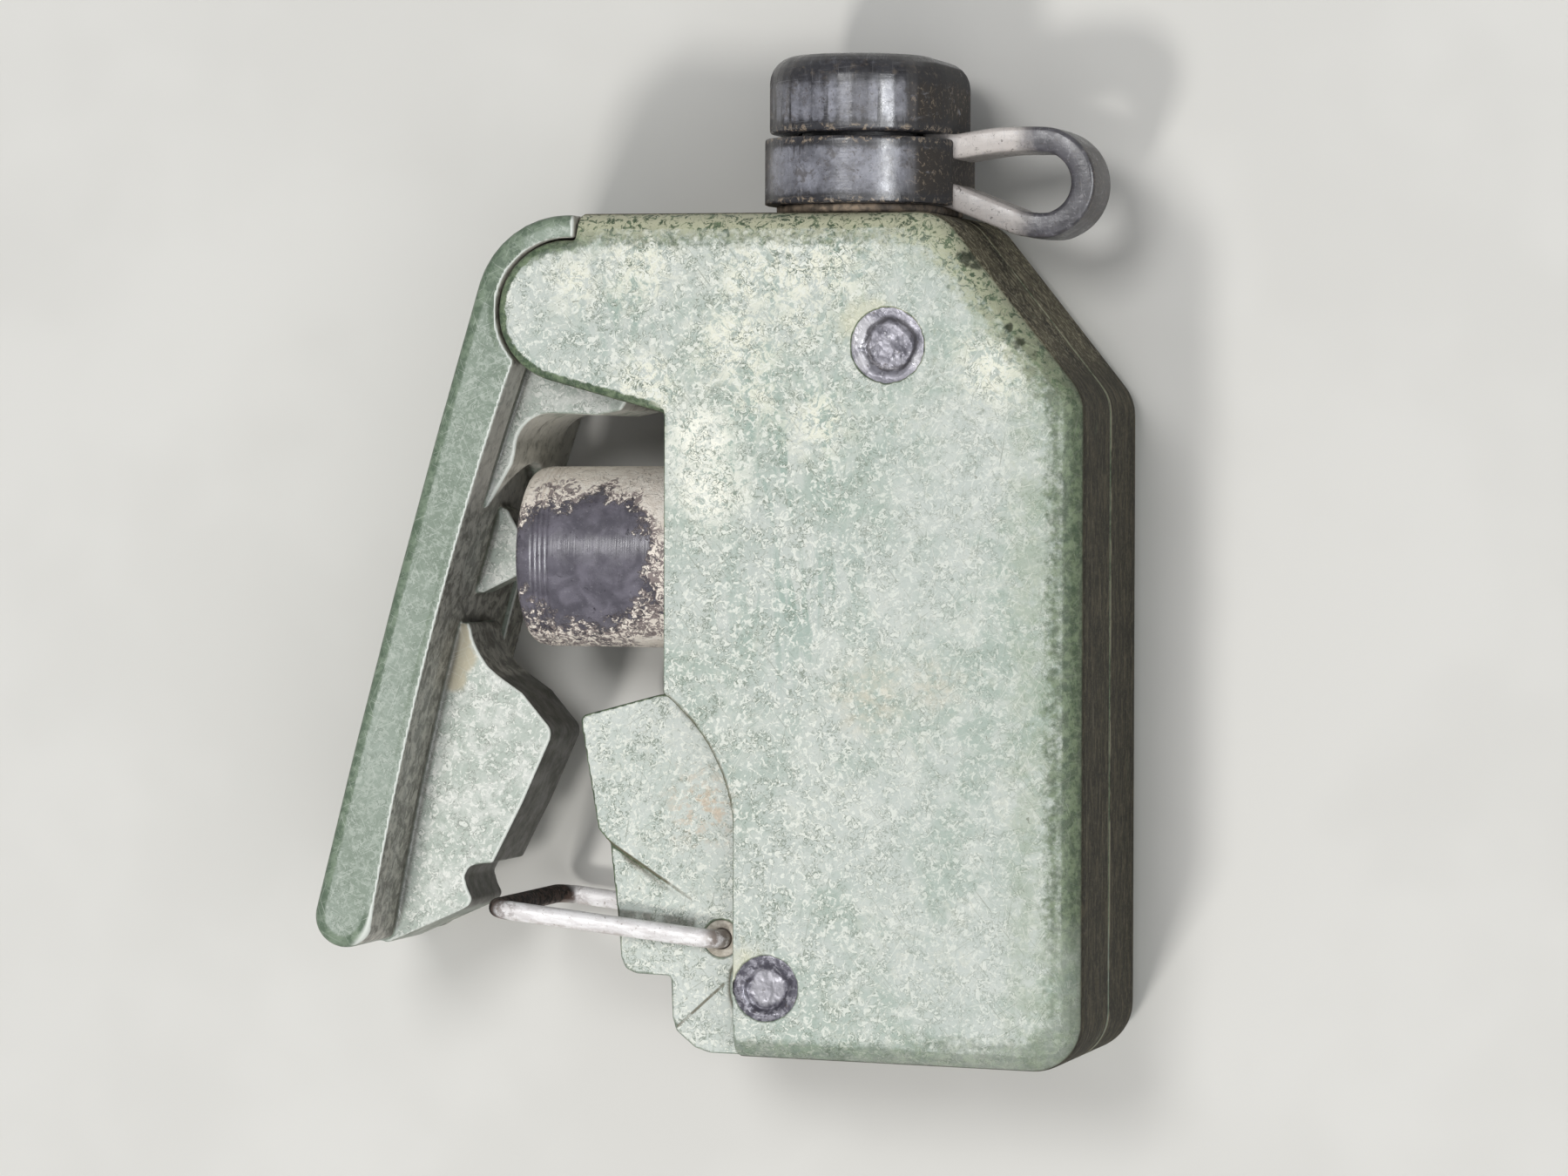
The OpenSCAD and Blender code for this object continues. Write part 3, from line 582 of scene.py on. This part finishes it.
def rubber(name, base, dust_and_sheen, tint, tint_share, soil):
    """Worn rubber: grey-black, its grey partly dust and partly painted sheen, with tan soil in the joints,
    brown dirt on its sides and crests painted dark.

    tint_share gives the mask of a third colour, tint, and soil is how strong the dirt is.
    """
    p = Paint(name, Roughness=0.4, Specular_IOR_Level=0.5)
    upright = p.sums("ABSOLUTE", p.along(p.facing, 2))
    # The lighter tone is partly dust and partly a painted sheen, the broad reflection on black rubber
    colour = p.mix(p.band(p.cloud(3.5, 4, 0.6, 0.4), 0.35, 0.68), base, dust_and_sheen)
    colour = p.mix(tint_share(p), colour, tint)
    dust = p.band(p.cloud(0.6, 4, 0.75, 0.6, seed=1), 0.55, 0.66)
    colour = p.mix(p.both(dust, 0.35), colour, (0.36, 0.35, 0.37))
    pits = p.band(p.cloud(0.5, 4, 0.75, 0.6, seed=5), 0.58, 0.66)
    colour = p.mix(p.both(pits, 0.75), colour, (0.055, 0.045, 0.04))
    hollow = p.relief()
    crumbly = p.cloud(0.8, 5, 0.75, 0.8, seed=3)
    joint = p.band(p.sums("MULTIPLY_ADD", crumbly, 0.14, hollow), 0.08, 0.13)
    colour = p.mix(p.both(joint, 0.85), colour, (0.15, 0.115, 0.085))
    sideways = p.along(p.facing, 0)
    side = p.either(p.both(p.band(sideways, 0.52, 0.82), p.band(upright, 0.88, 0.6)),
                    p.band(sideways, -0.72, -0.92, 0, 0.7))
    rough_side = p.band(p.cloud(1.6, 5, 0.7, 0.6, (1, 1, 2), seed=4), 0.26, 0.42)
    caked = p.both(side, rough_side, soil)
    crumbs = p.band(p.cloud(0.6, 4, 0.75, 0.8, seed=9), 0.56, 0.62)
    dirt = p.mix(p.both(crumbs, 0.7), (0.026, 0.019, 0.013), (0.25, 0.195, 0.14))
    colour = p.mix(caked, colour, dirt)
    # Painted shade with dirt: the crests are darkened nearly to black where the sheen falls away
    crest_shade_and_dirt = p.band(p.sums("MULTIPLY_ADD", crumbly, 0.1, hollow), 0.05, -0.02)
    colour = p.mix(p.both(crest_shade_and_dirt, 0.9), colour, (0.018, 0.017, 0.019))
    tan = p.both(p.band(hollow, -0.06, -0.14), p.band(crumbly, 0.53, 0.59))
    colour = p.mix(p.both(tan, 0.7 * soil), colour, (0.34, 0.27, 0.2))
    marks = p.scratches((5, 95), 3, 0.12, 0.66)
    colour = p.mix(p.both(marks, p.band(caked, 0, 1, 0.25, 0.02)), colour, (0.25, 0.25, 0.26))
    p.bump(p.cloud(0.5, 4, 0.7, 0.4), 0.02)
    p.bump(p.cloud(1, 2, 0.5, 0, (16, 0.5, 16)), 0.02)
    gloss = p.band(p.cloud(1.6, 4, 0.6, seed=6), 0.3, 0.7, 0.24, 0.4)
    return p.done(colour, p.either(gloss, p.both(caked, 0.9)))


def plunger_plastic():
    """Black turned plastic with caked mud round a clean middle. The mud breaks up into crumbs at its edge."""
    p = Paint("plunger_plastic", Roughness=0.22, Specular_IOR_Level=0.9)
    mud = p.add("ShaderNodeAttribute", attribute_name="mud").outputs["Fac"]
    base = p.mix(p.band(p.cloud(2.2, 4, 0.6, 0.5), 0.35, 0.68), (0.09, 0.084, 0.103), (0.165, 0.154, 0.186))
    base = p.mix(p.band(p.cloud(0.45, 3, 0.7, seed=1), 0.6, 0.7, 0, 0.5), base, (0.27, 0.26, 0.29))
    base = p.mix(p.band(p.cloud(0.8, 3, 0.7, 0.6, seed=8), 0.62, 0.7, 0, 0.8), base, (0.025, 0.022, 0.03))
    cake = p.mix(p.band(p.cloud(1.3, 5, 0.7, 0.5, seed=2), 0.38, 0.62),
                 (0.8, 0.725, 0.64), (0.93, 0.87, 0.79))
    cracks = p.band(p.off(p.cloud(2.4, 3, 0.6, 1, seed=3), 0.5), 0.012, 0.004)
    cake = p.mix(p.both(cracks, 0.6), cake, (0.2, 0.16, 0.13))
    clods = p.cloud(0.8, 4, 0.7, 1.2, seed=4)
    share = p.sums("MULTIPLY_ADD", p.sums("SUBTRACT", clods, 0.5), 2.6, mud)
    near_mud = p.band(mud, 0.02, 0.1)
    covered = p.both(p.band(share, 0.32, 0.44), near_mud)
    loose = p.sums("MULTIPLY_ADD", p.cloud(0.5, 3, 0.7, 1, seed=9), 0.8, share)
    fringe = p.both(p.band(loose, 0.5, 0.7), near_mud)
    colour = p.mix(p.both(fringe, 0.75), base, (0.11, 0.09, 0.09))
    crumb = p.mix(p.band(p.cloud(0.7, 3, 0.7, 1.2, seed=5), 0.48, 0.54),
                  (0.27, 0.225, 0.215), (0.92, 0.84, 0.75))
    colour = p.mix(covered, colour, p.mix(p.band(mud, 0.72, 0.9), crumb, cake))
    lines = p.cloud(1, 2, 0.5, 0, (0.16, 30, 30), seed=6)
    p.bump(lines, 0.01)
    p.bump(p.both(p.either(covered, p.both(fringe, 0.5)), p.cloud(0.5, 3, 0.7)), 0.14)
    rough = p.either(p.band(p.cloud(1.5, 4, 0.6, seed=7), 0.35, 0.7, 0.2, 0.34), p.both(fringe, 0.75))
    return p.done(colour, rough)


def rivet_metal():
    """Dull dark metal with bright spots: rubbed metal with painted highlights."""
    p = Paint("rivet_metal", Metallic=0.35, Roughness=0.4)
    hollow = p.relief()
    colour = p.mix(p.band(p.cloud(1.5, 4, 0.6, 0.5), 0.36, 0.6), (0.14, 0.136, 0.16), (0.33, 0.32, 0.36))
    colour = p.mix(p.band(p.cloud(0.45, 3, 0.7, seed=1), 0.6, 0.68, 0, 0.55), colour, (0.66, 0.65, 0.68))
    # Painted shade with soil in the hollows
    colour = p.mix(p.both(p.band(hollow, 0.02, 0.08), p.band(p.cloud(0.9, 3, seed=5), 0.4, 0.5), 0.8), colour,
                   (0.06, 0.05, 0.052))
    ragged = p.sums("MULTIPLY", p.sums("SUBTRACT", p.cloud(1.2, 4, 0.7, seed=2), 0.5), 1.6)
    # The upper rivet has a dark crease inside a rim with bright spots, rubbed metal with painted highlights
    upper = p.sums("MULTIPLY_ADD", ragged, 0.6, p.from_point(UPPER_RIVET[0] + 0.3, UPPER_RIVET[1] + 0.1))
    crease = p.both(p.band(upper, 2.1, 2.4), p.band(upper, 2.9, 2.6))
    colour = p.mix(p.both(crease, 0.8), colour, (0.06, 0.055, 0.06))
    rubbed_highlight_spots = p.spots([(17.5, 22.6, 1.5, 0.6, 0.5), (17.8, 19.9, 0.9, 0.5, 0.5),
                        (23.1, 20.1, 0.9, 0.5, 0.5)])
    bright = p.both(p.band(upper, 2.6, 2.9), rubbed_highlight_spots)
    colour = p.mix(p.both(bright, 0.8), colour, (0.5, 0.49, 0.51))
    # The lower rivet has a dark ring round a pale middle
    lower = p.sums("ADD", p.from_point(*LOWER_RIVET), ragged)
    colour = p.mix(p.band(lower, 2.0, 1.4, 0, 0.7), colour, (0.42, 0.41, 0.44))
    ring = p.both(p.band(lower, 1.5, 2.0), p.band(lower, 6, 5),
                  p.band(p.cloud(0.9, 4, 0.7, seed=7), 0.58, 0.48))
    colour = p.mix(p.both(ring, 0.85), colour, (0.07, 0.065, 0.085))
    soil = p.band(p.cloud(0.6, 4, 0.75, seed=3), 0.6, 0.68, 0, 0.7)
    colour = p.mix(soil, colour, (0.075, 0.06, 0.05))
    p.bump(p.cloud(0.5, 3, 0.6, 0.5), 0.06)
    return p.done(colour, p.band(p.cloud(0.8, 4, seed=4), 0.35, 0.7, 0.28, 0.5))


def bail_wire():
    """Dull drawn wire: arms painted near white as a painted highlight over the steel, the cross bar painted
    near black as a brown stain with painted shadow, the underside painted darker as shade with soil, and
    soiled where it enters the body.
    """
    p = Paint("bail_wire", Metallic=0.1, Roughness=0.4, Specular_IOR_Level=0.3)
    along_arms = 173
    drawn = p.cloud(1, 4, 0.65, 0.2, (2.5, 0.8, 0.8), turn=along_arms)
    # The arms are painted near white: the steel's tone with a painted highlight of the lamps
    colour = p.mix(p.band(drawn, 0.36, 0.6), (0.72, 0.69, 0.685), (0.92, 0.9, 0.9))
    x, z = p.along(p.place, 0), p.along(p.place, 2)
    # The cross bar is painted near black, a brown stain with painted shadow; the bends are browned, and the
    # ends are soiled where they enter the body
    stained_shaded_bar = p.both(p.band(x, -19.4, -20.2), p.band(z, 29.3, 28.0), p.band(z, 3.4, 4.8))
    stain = p.band(p.cloud(0.9, 5, 0.7, 0.5, seed=1), 0.3, 0.5, 0.93, 1)
    colour = p.mix(p.both(stained_shaded_bar, stain), colour, (0.02, 0.015, 0.012))
    bend = p.both(p.band(x, -17.6, -20.6), p.band(p.cloud(0.8, 4, 0.7, seed=5), 0.46, 0.56), 0.6)
    colour = p.mix(bend, colour, (0.12, 0.08, 0.065))
    root = p.both(p.band(x, 0.0, 1.8), p.band(p.cloud(0.8, 4, 0.7, seed=2), 0.35, 0.55), 0.85)
    colour = p.mix(root, colour, (0.25, 0.2, 0.17))
    # Painted shade with soil: the wire's downward side is darker brown
    underside_shade_and_soil = p.both(p.band(p.along(p.facing, 1), -0.45, -0.85),
                   p.band(p.cloud(1.4, 4, 0.7, seed=6), 0.4, 0.6), 0.6)
    colour = p.mix(underside_shade_and_soil, colour, (0.4, 0.34, 0.31))
    pits = p.band(p.cloud(0.35, 3, 0.7, seed=3), 0.6, 0.7, 0, 0.7)
    colour = p.mix(pits, colour, (0.3, 0.25, 0.22))
    p.bump(p.cloud(0.45, 4, 0.7), 0.03)
    p.bump(p.cloud(1, 2, 0.5, 0, (7, 0.22, 0.22), turn=along_arms), 0.02)
    return p.done(colour, p.either(p.band(p.cloud(1.1, 4, seed=4), 0.35, 0.7, 0.3, 0.52), p.both(stained_shaded_bar, 0.9)))


def plain(name, dark, light, size, rough, metallic=0.0, streak=(1, 1, 1)):
    """A worn plain finish for the small and the hidden parts: two tones, darker flecks and fine grain."""
    p = Paint(name, Metallic=metallic)
    colour = p.mix(p.band(p.cloud(size, 4, 0.65, 0.4, streak), 0.35, 0.66), dark, light)
    shade = tuple(0.4 * c for c in dark)
    colour = p.mix(p.band(p.cloud(0.4, 4, 0.7, seed=1), 0.6, 0.74, 0, 0.5), colour, shade)
    p.bump(p.cloud(0.4, 4, 0.7), 0.03)
    return p.done(colour, p.band(p.cloud(1.2, 3, seed=2), 0.35, 0.7, rough - 0.08, rough + 0.1))


def use(piece, body, material):
    """Gives a piece its material and the body that it rides on."""
    piece.data.materials.clear()
    piece.data.materials.append(material)
    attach(piece, body)


# ---------------------------------------------------------------- camera

EYE = Vector((162.63, 8.98, 631.75)) * MM
AIM = Vector((9.7, -2.8, 31.75)) * MM
camera = bpy.data.objects.new("camera", bpy.data.cameras.new("camera"))
back = (EYE - AIM).normalized()
right = Vector((-0.0031, 1, 0)).cross(back).normalized()
camera.matrix_world = Matrix.Translation(EYE) @ Matrix((right, back.cross(right), back)).transposed().to_4x4()
camera.data.sensor_width = 36
camera.data.lens = 142.44
camera.data.clip_start = 0.01
bpy.context.scene.collection.objects.link(camera)
bpy.context.scene.camera = camera


# ---------------------------------------------------------------- pieces

BODY = body_plastic()
LEVER = lever_plastic()
use(moulded("front_half", "front_shell", 0.25, 2), "root", BODY)
use(moulded("back_half", "back_shell", 0.25, 2), "root", BODY)
use(moulded("squeeze_lever", "lever", 0.25, 2), "lever", LEVER)

# The cap's grey tones are lifted above black rubber: dust with a painted sheen
CAP = rubber("cap_rubber", (0.14, 0.141, 0.162), (0.27, 0.274, 0.315), (0.085, 0.076, 0.072),
             lambda p: p.both(p.band(p.cloud(1.8, 4, 0.7, 0.6, seed=7), 0.52, 0.66), 0.7), 1)
use(moulded("rubber_cap", "dust_cap", 0.2, 2, 1.0, 60000), "cap", CAP)
use(moulded("rubber_collar", "cap_collar", 0.2, 2, 1.0, 60000), "root", CAP)
use(moulded("soiled_gasket", "outlet_gasket", 0.25, 1), "root",
    plain("soiled_rubber", (0.07, 0.055, 0.04), (0.25, 0.19, 0.135), 1.2, 0.8))


def strap_ring(_):
    """A flat rubber section with rounded edges, as thick as the CAD strap."""
    half_t, half_w, r = 1.25, 4.25, 0.45
    ring = []
    for cx, cy, start in ((1, 1, 0), (-1, 1, 90), (-1, -1, 180), (1, -1, 270)):
        for turn in (0, 30, 60, 90):
            a = math.radians(start + turn)
            ring.append((cx * (half_t - r) + r * math.cos(a), cy * (half_w - r) + r * math.sin(a)))
    return ring


LOOP_X, LOOP_Y, LOOP_R = 33.2, 38, 4.35
loop = [(LOOP_X + LOOP_R * math.cos(math.radians(a)), LOOP_Y + LOOP_R * math.sin(math.radians(a)))
        for a in range(-82, 90, 17)]
strap_line = [(21.8, 37.4), (24.2, 36.6), (26.4, 35.75), (29.3, 34.6), (31.4, 33.85), *loop,
              (29.4, 42.35), (26.5, 42), (24.4, 41.7), (23.0, 41.9), (22.3, 42.7), (22.2, 43.9)]
strap = sweep("strap_loop", smooth_path([(x, y, MID) for x, y in strap_line], 0.45), strap_ring)
mark_relief(strap, 1)
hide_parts("cap_strap")


def dusty_ends(p):
    """1 on the strap's ends by the cap, fading out towards the loop."""
    return p.band(p.sums("MULTIPLY_ADD", p.cloud(2, 4, 0.7, 0.5, seed=8), 3, p.along(p.place, 0)), 34.5, 31.5)


strap.data.materials.append(rubber("strap_rubber", (0.05, 0.048, 0.055), (0.1, 0.096, 0.108),
                                   (0.5, 0.46, 0.435), dusty_ends, 0.5))
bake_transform(strap)


RIVET = rivet_metal()


def rivet_head(name, node):
    """A rolled rivet end on each side: a rough sunk middle in an uneven crimped ring."""
    low, high = (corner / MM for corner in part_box(node))
    x, y, r = (low.x + high.x) / 2, (low.y + high.y) / 2, (high.x - low.x) / 2
    profile = [(0.02, -0.42), (r * 0.2, -0.4), (r * 0.38, -0.43), (r * 0.5, -0.47), (r * 0.57, -0.5),
               (r * 0.62, -0.44), (r * 0.66, -0.28), (r * 0.7, -0.13), (r * 0.75, -0.05), (r * 0.81, 0),
               (r * 0.88, -0.02), (r * 0.96, -0.04), (r * 1.02, -0.08), (r * 1.05, -0.2), (r * 1.055, -0.45),
               (r * 1.0, -0.98)]
    dense = smooth_path([(a, b, 0) for a, b in profile], 0.14)[:, :2]
    dense[:, 0] = np.maximum(dense[:, 0], 0.02)

    def shake(radius, height, turn):
        """Makes the rolled ring uneven, and the sunk middle rough."""
        where = Vector((radius * math.cos(turn), radius * math.sin(turn), r))
        share = min(1.0, radius / r)
        wide = noise.noise(where * 0.9 + Vector((0, 0, 3)))
        fine = noise.noise(where * 2.6)
        out = radius * (1 + 0.06 * share ** 2 * (wide + 0.5 * fine))
        drop = (0.1 * (1 + wide) + 0.07 * (1 + fine)) * (1.15 - share)
        return out, height - drop if height > -0.9 else height

    heads = []
    for sign, face in ((1, high.z), (-1, low.z)):
        def place(a, b, h, sign=sign, face=face):
            """Puts a point on the front or the back, with a middle that is off centre and dented."""
            share = math.hypot(a, b) / r
            off = 0.16 * r * max(0.0, 1 - share / 0.95)
            push = min(1.0, share) * max(0.0, 1 - share) * 4
            dent = 1 + 0.22 * noise.noise(Vector((a, b, r + sign)) * 0.55) * push
            return x + (a * dent + off) * sign, y + b * dent - 0.6 * off, face + sign * h

        heads.append(lathe(f"{name}_{'front' if sign > 0 else 'back'}", dense, place, 96, shake))
    for head in heads:
        head.data.transform(Matrix.Scale(1 / MM, 4))
        mark_relief(head, 5)
        head.data.transform(Matrix.Scale(MM, 4))
        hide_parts(node)
        use(head, "root", RIVET)


rivet_head("upper_rivet_head", "upper_rivet")
rivet_head("lower_rivet_head", "lower_rivet")


def plunger():
    """The turned black cap, with fine rings at its end and mud caked on its top, bottom and root."""
    low, high = (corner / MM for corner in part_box("plunger_cap"))
    r, x0, x1 = (high.y - low.y) / 2, low.x, high.x
    rim = [(0.02, 0.0), (r * 0.3, 0.0), (r * 0.6, 0.0), (r - 2.0, 0.0), (r - 1.45, 0.02), (r - 1.0, 0.1),
           (r - 0.62, 0.3), (r - 0.4, 0.62), (r - 0.27, 1.05), (r - 0.22, 1.45)]
    grooves = []
    for g in (1.7, 2.25, 2.75, 3.3):
        grooves += [(r - 0.15, g), (r - 0.16, g + 0.14), (r - 0.34, g + 0.2), (r - 0.34, g + 0.26),
                    (r - 0.15, g + 0.32)]
    shank_start, shank_length, depth = 3.8, 11, x1 - x0
    shank = [(r - 0.14 + 0.06 * t, shank_start + t * shank_length) for t in np.linspace(0, 1, 50)]
    inner = [(r - 0.06, 15.5), (r - 0.05, depth - 0.3), (r - 0.3, depth), (0.02, depth)]
    points = rim + grooves + shank + inner
    clean_x = -12.2

    def caked(a, b, x):
        """How thick the mud is: 0 in the clean middle of the front, 1 on the top and by the body."""
        reach = 8.6 if x < clean_x else 5.4
        away = math.hypot((x - clean_x) / reach, b / (5.3 if b > 0 else 6.2))
        wander = 0.3 * noise.noise(Vector((x, b, a)) * 0.45) + 0.2 * noise.noise(Vector((x, b, a)) * 1.2)
        value = (away - 1 + wander) / (0.5 if b > 0 else 0.7)
        crumbly = 1 - 0.34 * max(0.0, min(1.0, (3 - b) / 4))
        if b < -8 and x > -10:
            crumbly = 1.0
        return max(0.0, min(crumbly, value))

    piece_points, mud = [], []
    sides = 160
    for radius, along in points:
        for j in range(sides):
            turn = 2 * math.pi * j / sides
            a, b = radius * math.cos(turn), radius * math.sin(turn)
            x = x0 + along
            share = caked(a, b, x) if radius > r - 1.2 else 0.0
            crust = 1 + 0.05 * share / r * (0.5 + noise.noise(Vector((x, b, a)) * 2.4))
            piece_points.append((x, b * crust, MID + a * crust))
            mud.append(share)
    piece = add_mesh("plunger_button", piece_points, grid_faces(len(points), sides))
    piece.data.attributes.new("mud", "FLOAT", "POINT").data.foreach_set("value", mud)
    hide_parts("plunger_cap")
    return piece


use(plunger(), "plunger", plunger_plastic())


def bail():
    """One bent wire: two arms that enter the body, and the cross bar between them."""
    wire_r, bend, length, tail = 1.0, 2.2, 23.7, 5.2
    top = (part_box("safety_bail")[1] / MM).z - wire_r
    pivot = np.array(BAIL_PIVOT)
    out = np.array((math.cos(math.radians(BAIL_TURN)), math.sin(math.radians(BAIL_TURN))))

    def corner(near, far, start, end):
        """A bend between the arm and the wire that turns off it, from angle start to end, in degrees."""
        turns = [math.radians(start + (end - start) * k / 8) for k in range(9)]
        return [(near + bend * math.cos(t), far + bend * math.sin(t)) for t in turns]

    half = [(0, top - tail), (0, top - 3.8)] + corner(bend, top - bend, 180, 90)
    half += [(bend + (length - 2 * bend) * t, top) for t in np.linspace(0.04, 0.96, 16)]
    half += corner(length - bend, top - bend, 90, 0)
    half += [(length, top - bend - (top - bend - MID) * t) for t in np.linspace(0.06, 0.96, 10)]
    path = [(*(pivot + out * s), z) for s, z in half]
    path += [(x, y, THICK - z) for x, y, z in reversed(path)]

    def ring(i):
        """The wire's round section, a little uneven along its length."""
        centre = Vector(path[i])
        r = wire_r * (0.985 - 0.03 * (0.5 + 0.5 * noise.noise(centre * 0.3)))
        return [(r * math.cos(t), r * math.sin(t)) for t in np.linspace(0, 2 * math.pi, 25)[:-1]]

    piece = sweep("wire_bail", path, ring, up=(-out[1], out[0], 0.0))
    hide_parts("safety_bail")
    return piece


use(bail(), "bail", bail_wire())

CREAM = plain("bush_cream", (0.36, 0.32, 0.26), (0.6, 0.56, 0.48), 1.1, 0.5)
use(moulded("cream_bushes", "bail_bushes", 0.16, 1, 0.5), "root", CREAM)

STEEL = plain("inner_steel", (0.42, 0.42, 0.42), (0.62, 0.61, 0.6), 1.5, 0.32, 0.9, (4, 4, 1))
BLACK = plain("bush_plastic", (0.05, 0.05, 0.055), (0.085, 0.085, 0.09), 2, 0.45)
SEAL = plain("seal_rubber", (0.035, 0.035, 0.04), (0.06, 0.06, 0.065), 1.5, 0.55)
FILLER = plain("filler", (0.42, 0.42, 0.41), (0.52, 0.52, 0.5), 5, 0.7)
PLATE = plain("guide_metal", (0.13, 0.13, 0.145), (0.24, 0.24, 0.255), 1.8, 0.42, 0.8)
# The other inner nodes keep their CAD meshes
for node, material in (("inert_block", FILLER), ("lever_pin", STEEL), ("plunger_stem", STEEL),
                       ("retaining_ring", STEEL), ("spring_washer", STEEL),
                       ("stem_guide", PLATE), ("plunger_bush", BLACK), ("plunger_seal", SEAL),
                       ("outlet_stub", BLACK)):
    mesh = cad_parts[node].data
    mesh.materials.clear()
    mesh.materials.append(material)
    mesh.polygons.foreach_set("use_smooth", [True] * len(mesh.polygons))
    mesh.set_sharp_from_angle(angle=math.radians(35))


def coil():
    """The plunger's return spring, a coil of round wire."""
    low, high = (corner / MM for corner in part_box("plunger_spring"))
    wire, turns, steps = 0.6, 9, 40
    radius = (high.z - low.z) / 2 - wire
    path = []
    for i in range(turns * steps + 1):
        turn = 2 * math.pi * i / steps
        share = i / (turns * steps)
        path.append((low.x + wire + (high.x - low.x - 2 * wire) * share,
                     radius * math.cos(turn), MID + radius * math.sin(turn)))
    section = [(wire * math.cos(t), wire * math.sin(t)) for t in np.linspace(0, 2 * math.pi, 17)[:-1]]
    piece = sweep("return_spring", path, lambda _: section, up=(1, 0, 0))
    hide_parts("plunger_spring")
    piece.data.materials.append(STEEL)
    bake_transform(piece)


coil()


# ---------------------------------------------------------------- studio

def area_light(name, place, size, power, colour, shines=True, lights=True):
    """A panel that points at the object.

    shines says whether it shows in reflections, and lights whether it lights what it points at.
    """
    lamp = bpy.data.lights.new(name, "AREA")
    lamp.shape = "RECTANGLE"
    lamp.size, lamp.size_y = size
    lamp.energy = power
    lamp.color = colour
    obj = bpy.data.objects.new(name, lamp)
    obj.location = place
    obj.rotation_euler = (Vector((0.01, 0, 0.015)) - Vector(place)).to_track_quat("-Z", "Y").to_euler()
    obj.visible_glossy = shines
    obj.visible_diffuse = lights
    bpy.context.scene.collection.objects.link(obj)


area_light("key", (-0.2, -0.52, 0.95), (0.15, 0.15), 4.8, (1, 0.985, 0.96), shines=False)
area_light("overhead", (-0.1, 0.3, 1.15), (0.3, 0.3), 4.9, (1, 1, 1))
area_light("fill", (0.38, -0.25, 1.0), (0.8, 0.8), 4.0, (1, 1, 1))
area_light("strip", (0.66, 0.02, 0.62), (0.5, 0.04), 7.0, (0.96, 0.98, 1), lights=False)
world = bpy.data.worlds.new("studio")
world.use_nodes = True
world.node_tree.nodes["Background"].inputs["Color"].default_value = (0.9, 0.95, 1, 1)
world.node_tree.nodes["Background"].inputs["Strength"].default_value = 0.22
bpy.context.scene.world = world
bpy.context.scene.view_settings.view_transform = "Standard"

HALF_TABLE = 3000
table = add_mesh("table", [(x * HALF_TABLE, y * HALF_TABLE, -0.15)
                           for x, y in ((-1, -1), (1, -1), (1, 1), (-1, 1))], [(0, 1, 2, 3)])
floor = Paint("table_top", Roughness=0.8)
tones = floor.mix(floor.band(floor.cloud(40, 3), 0.4, 0.6), (0.63, 0.62, 0.59), (0.66, 0.65, 0.62))
table.data.materials.append(floor.done(tones))
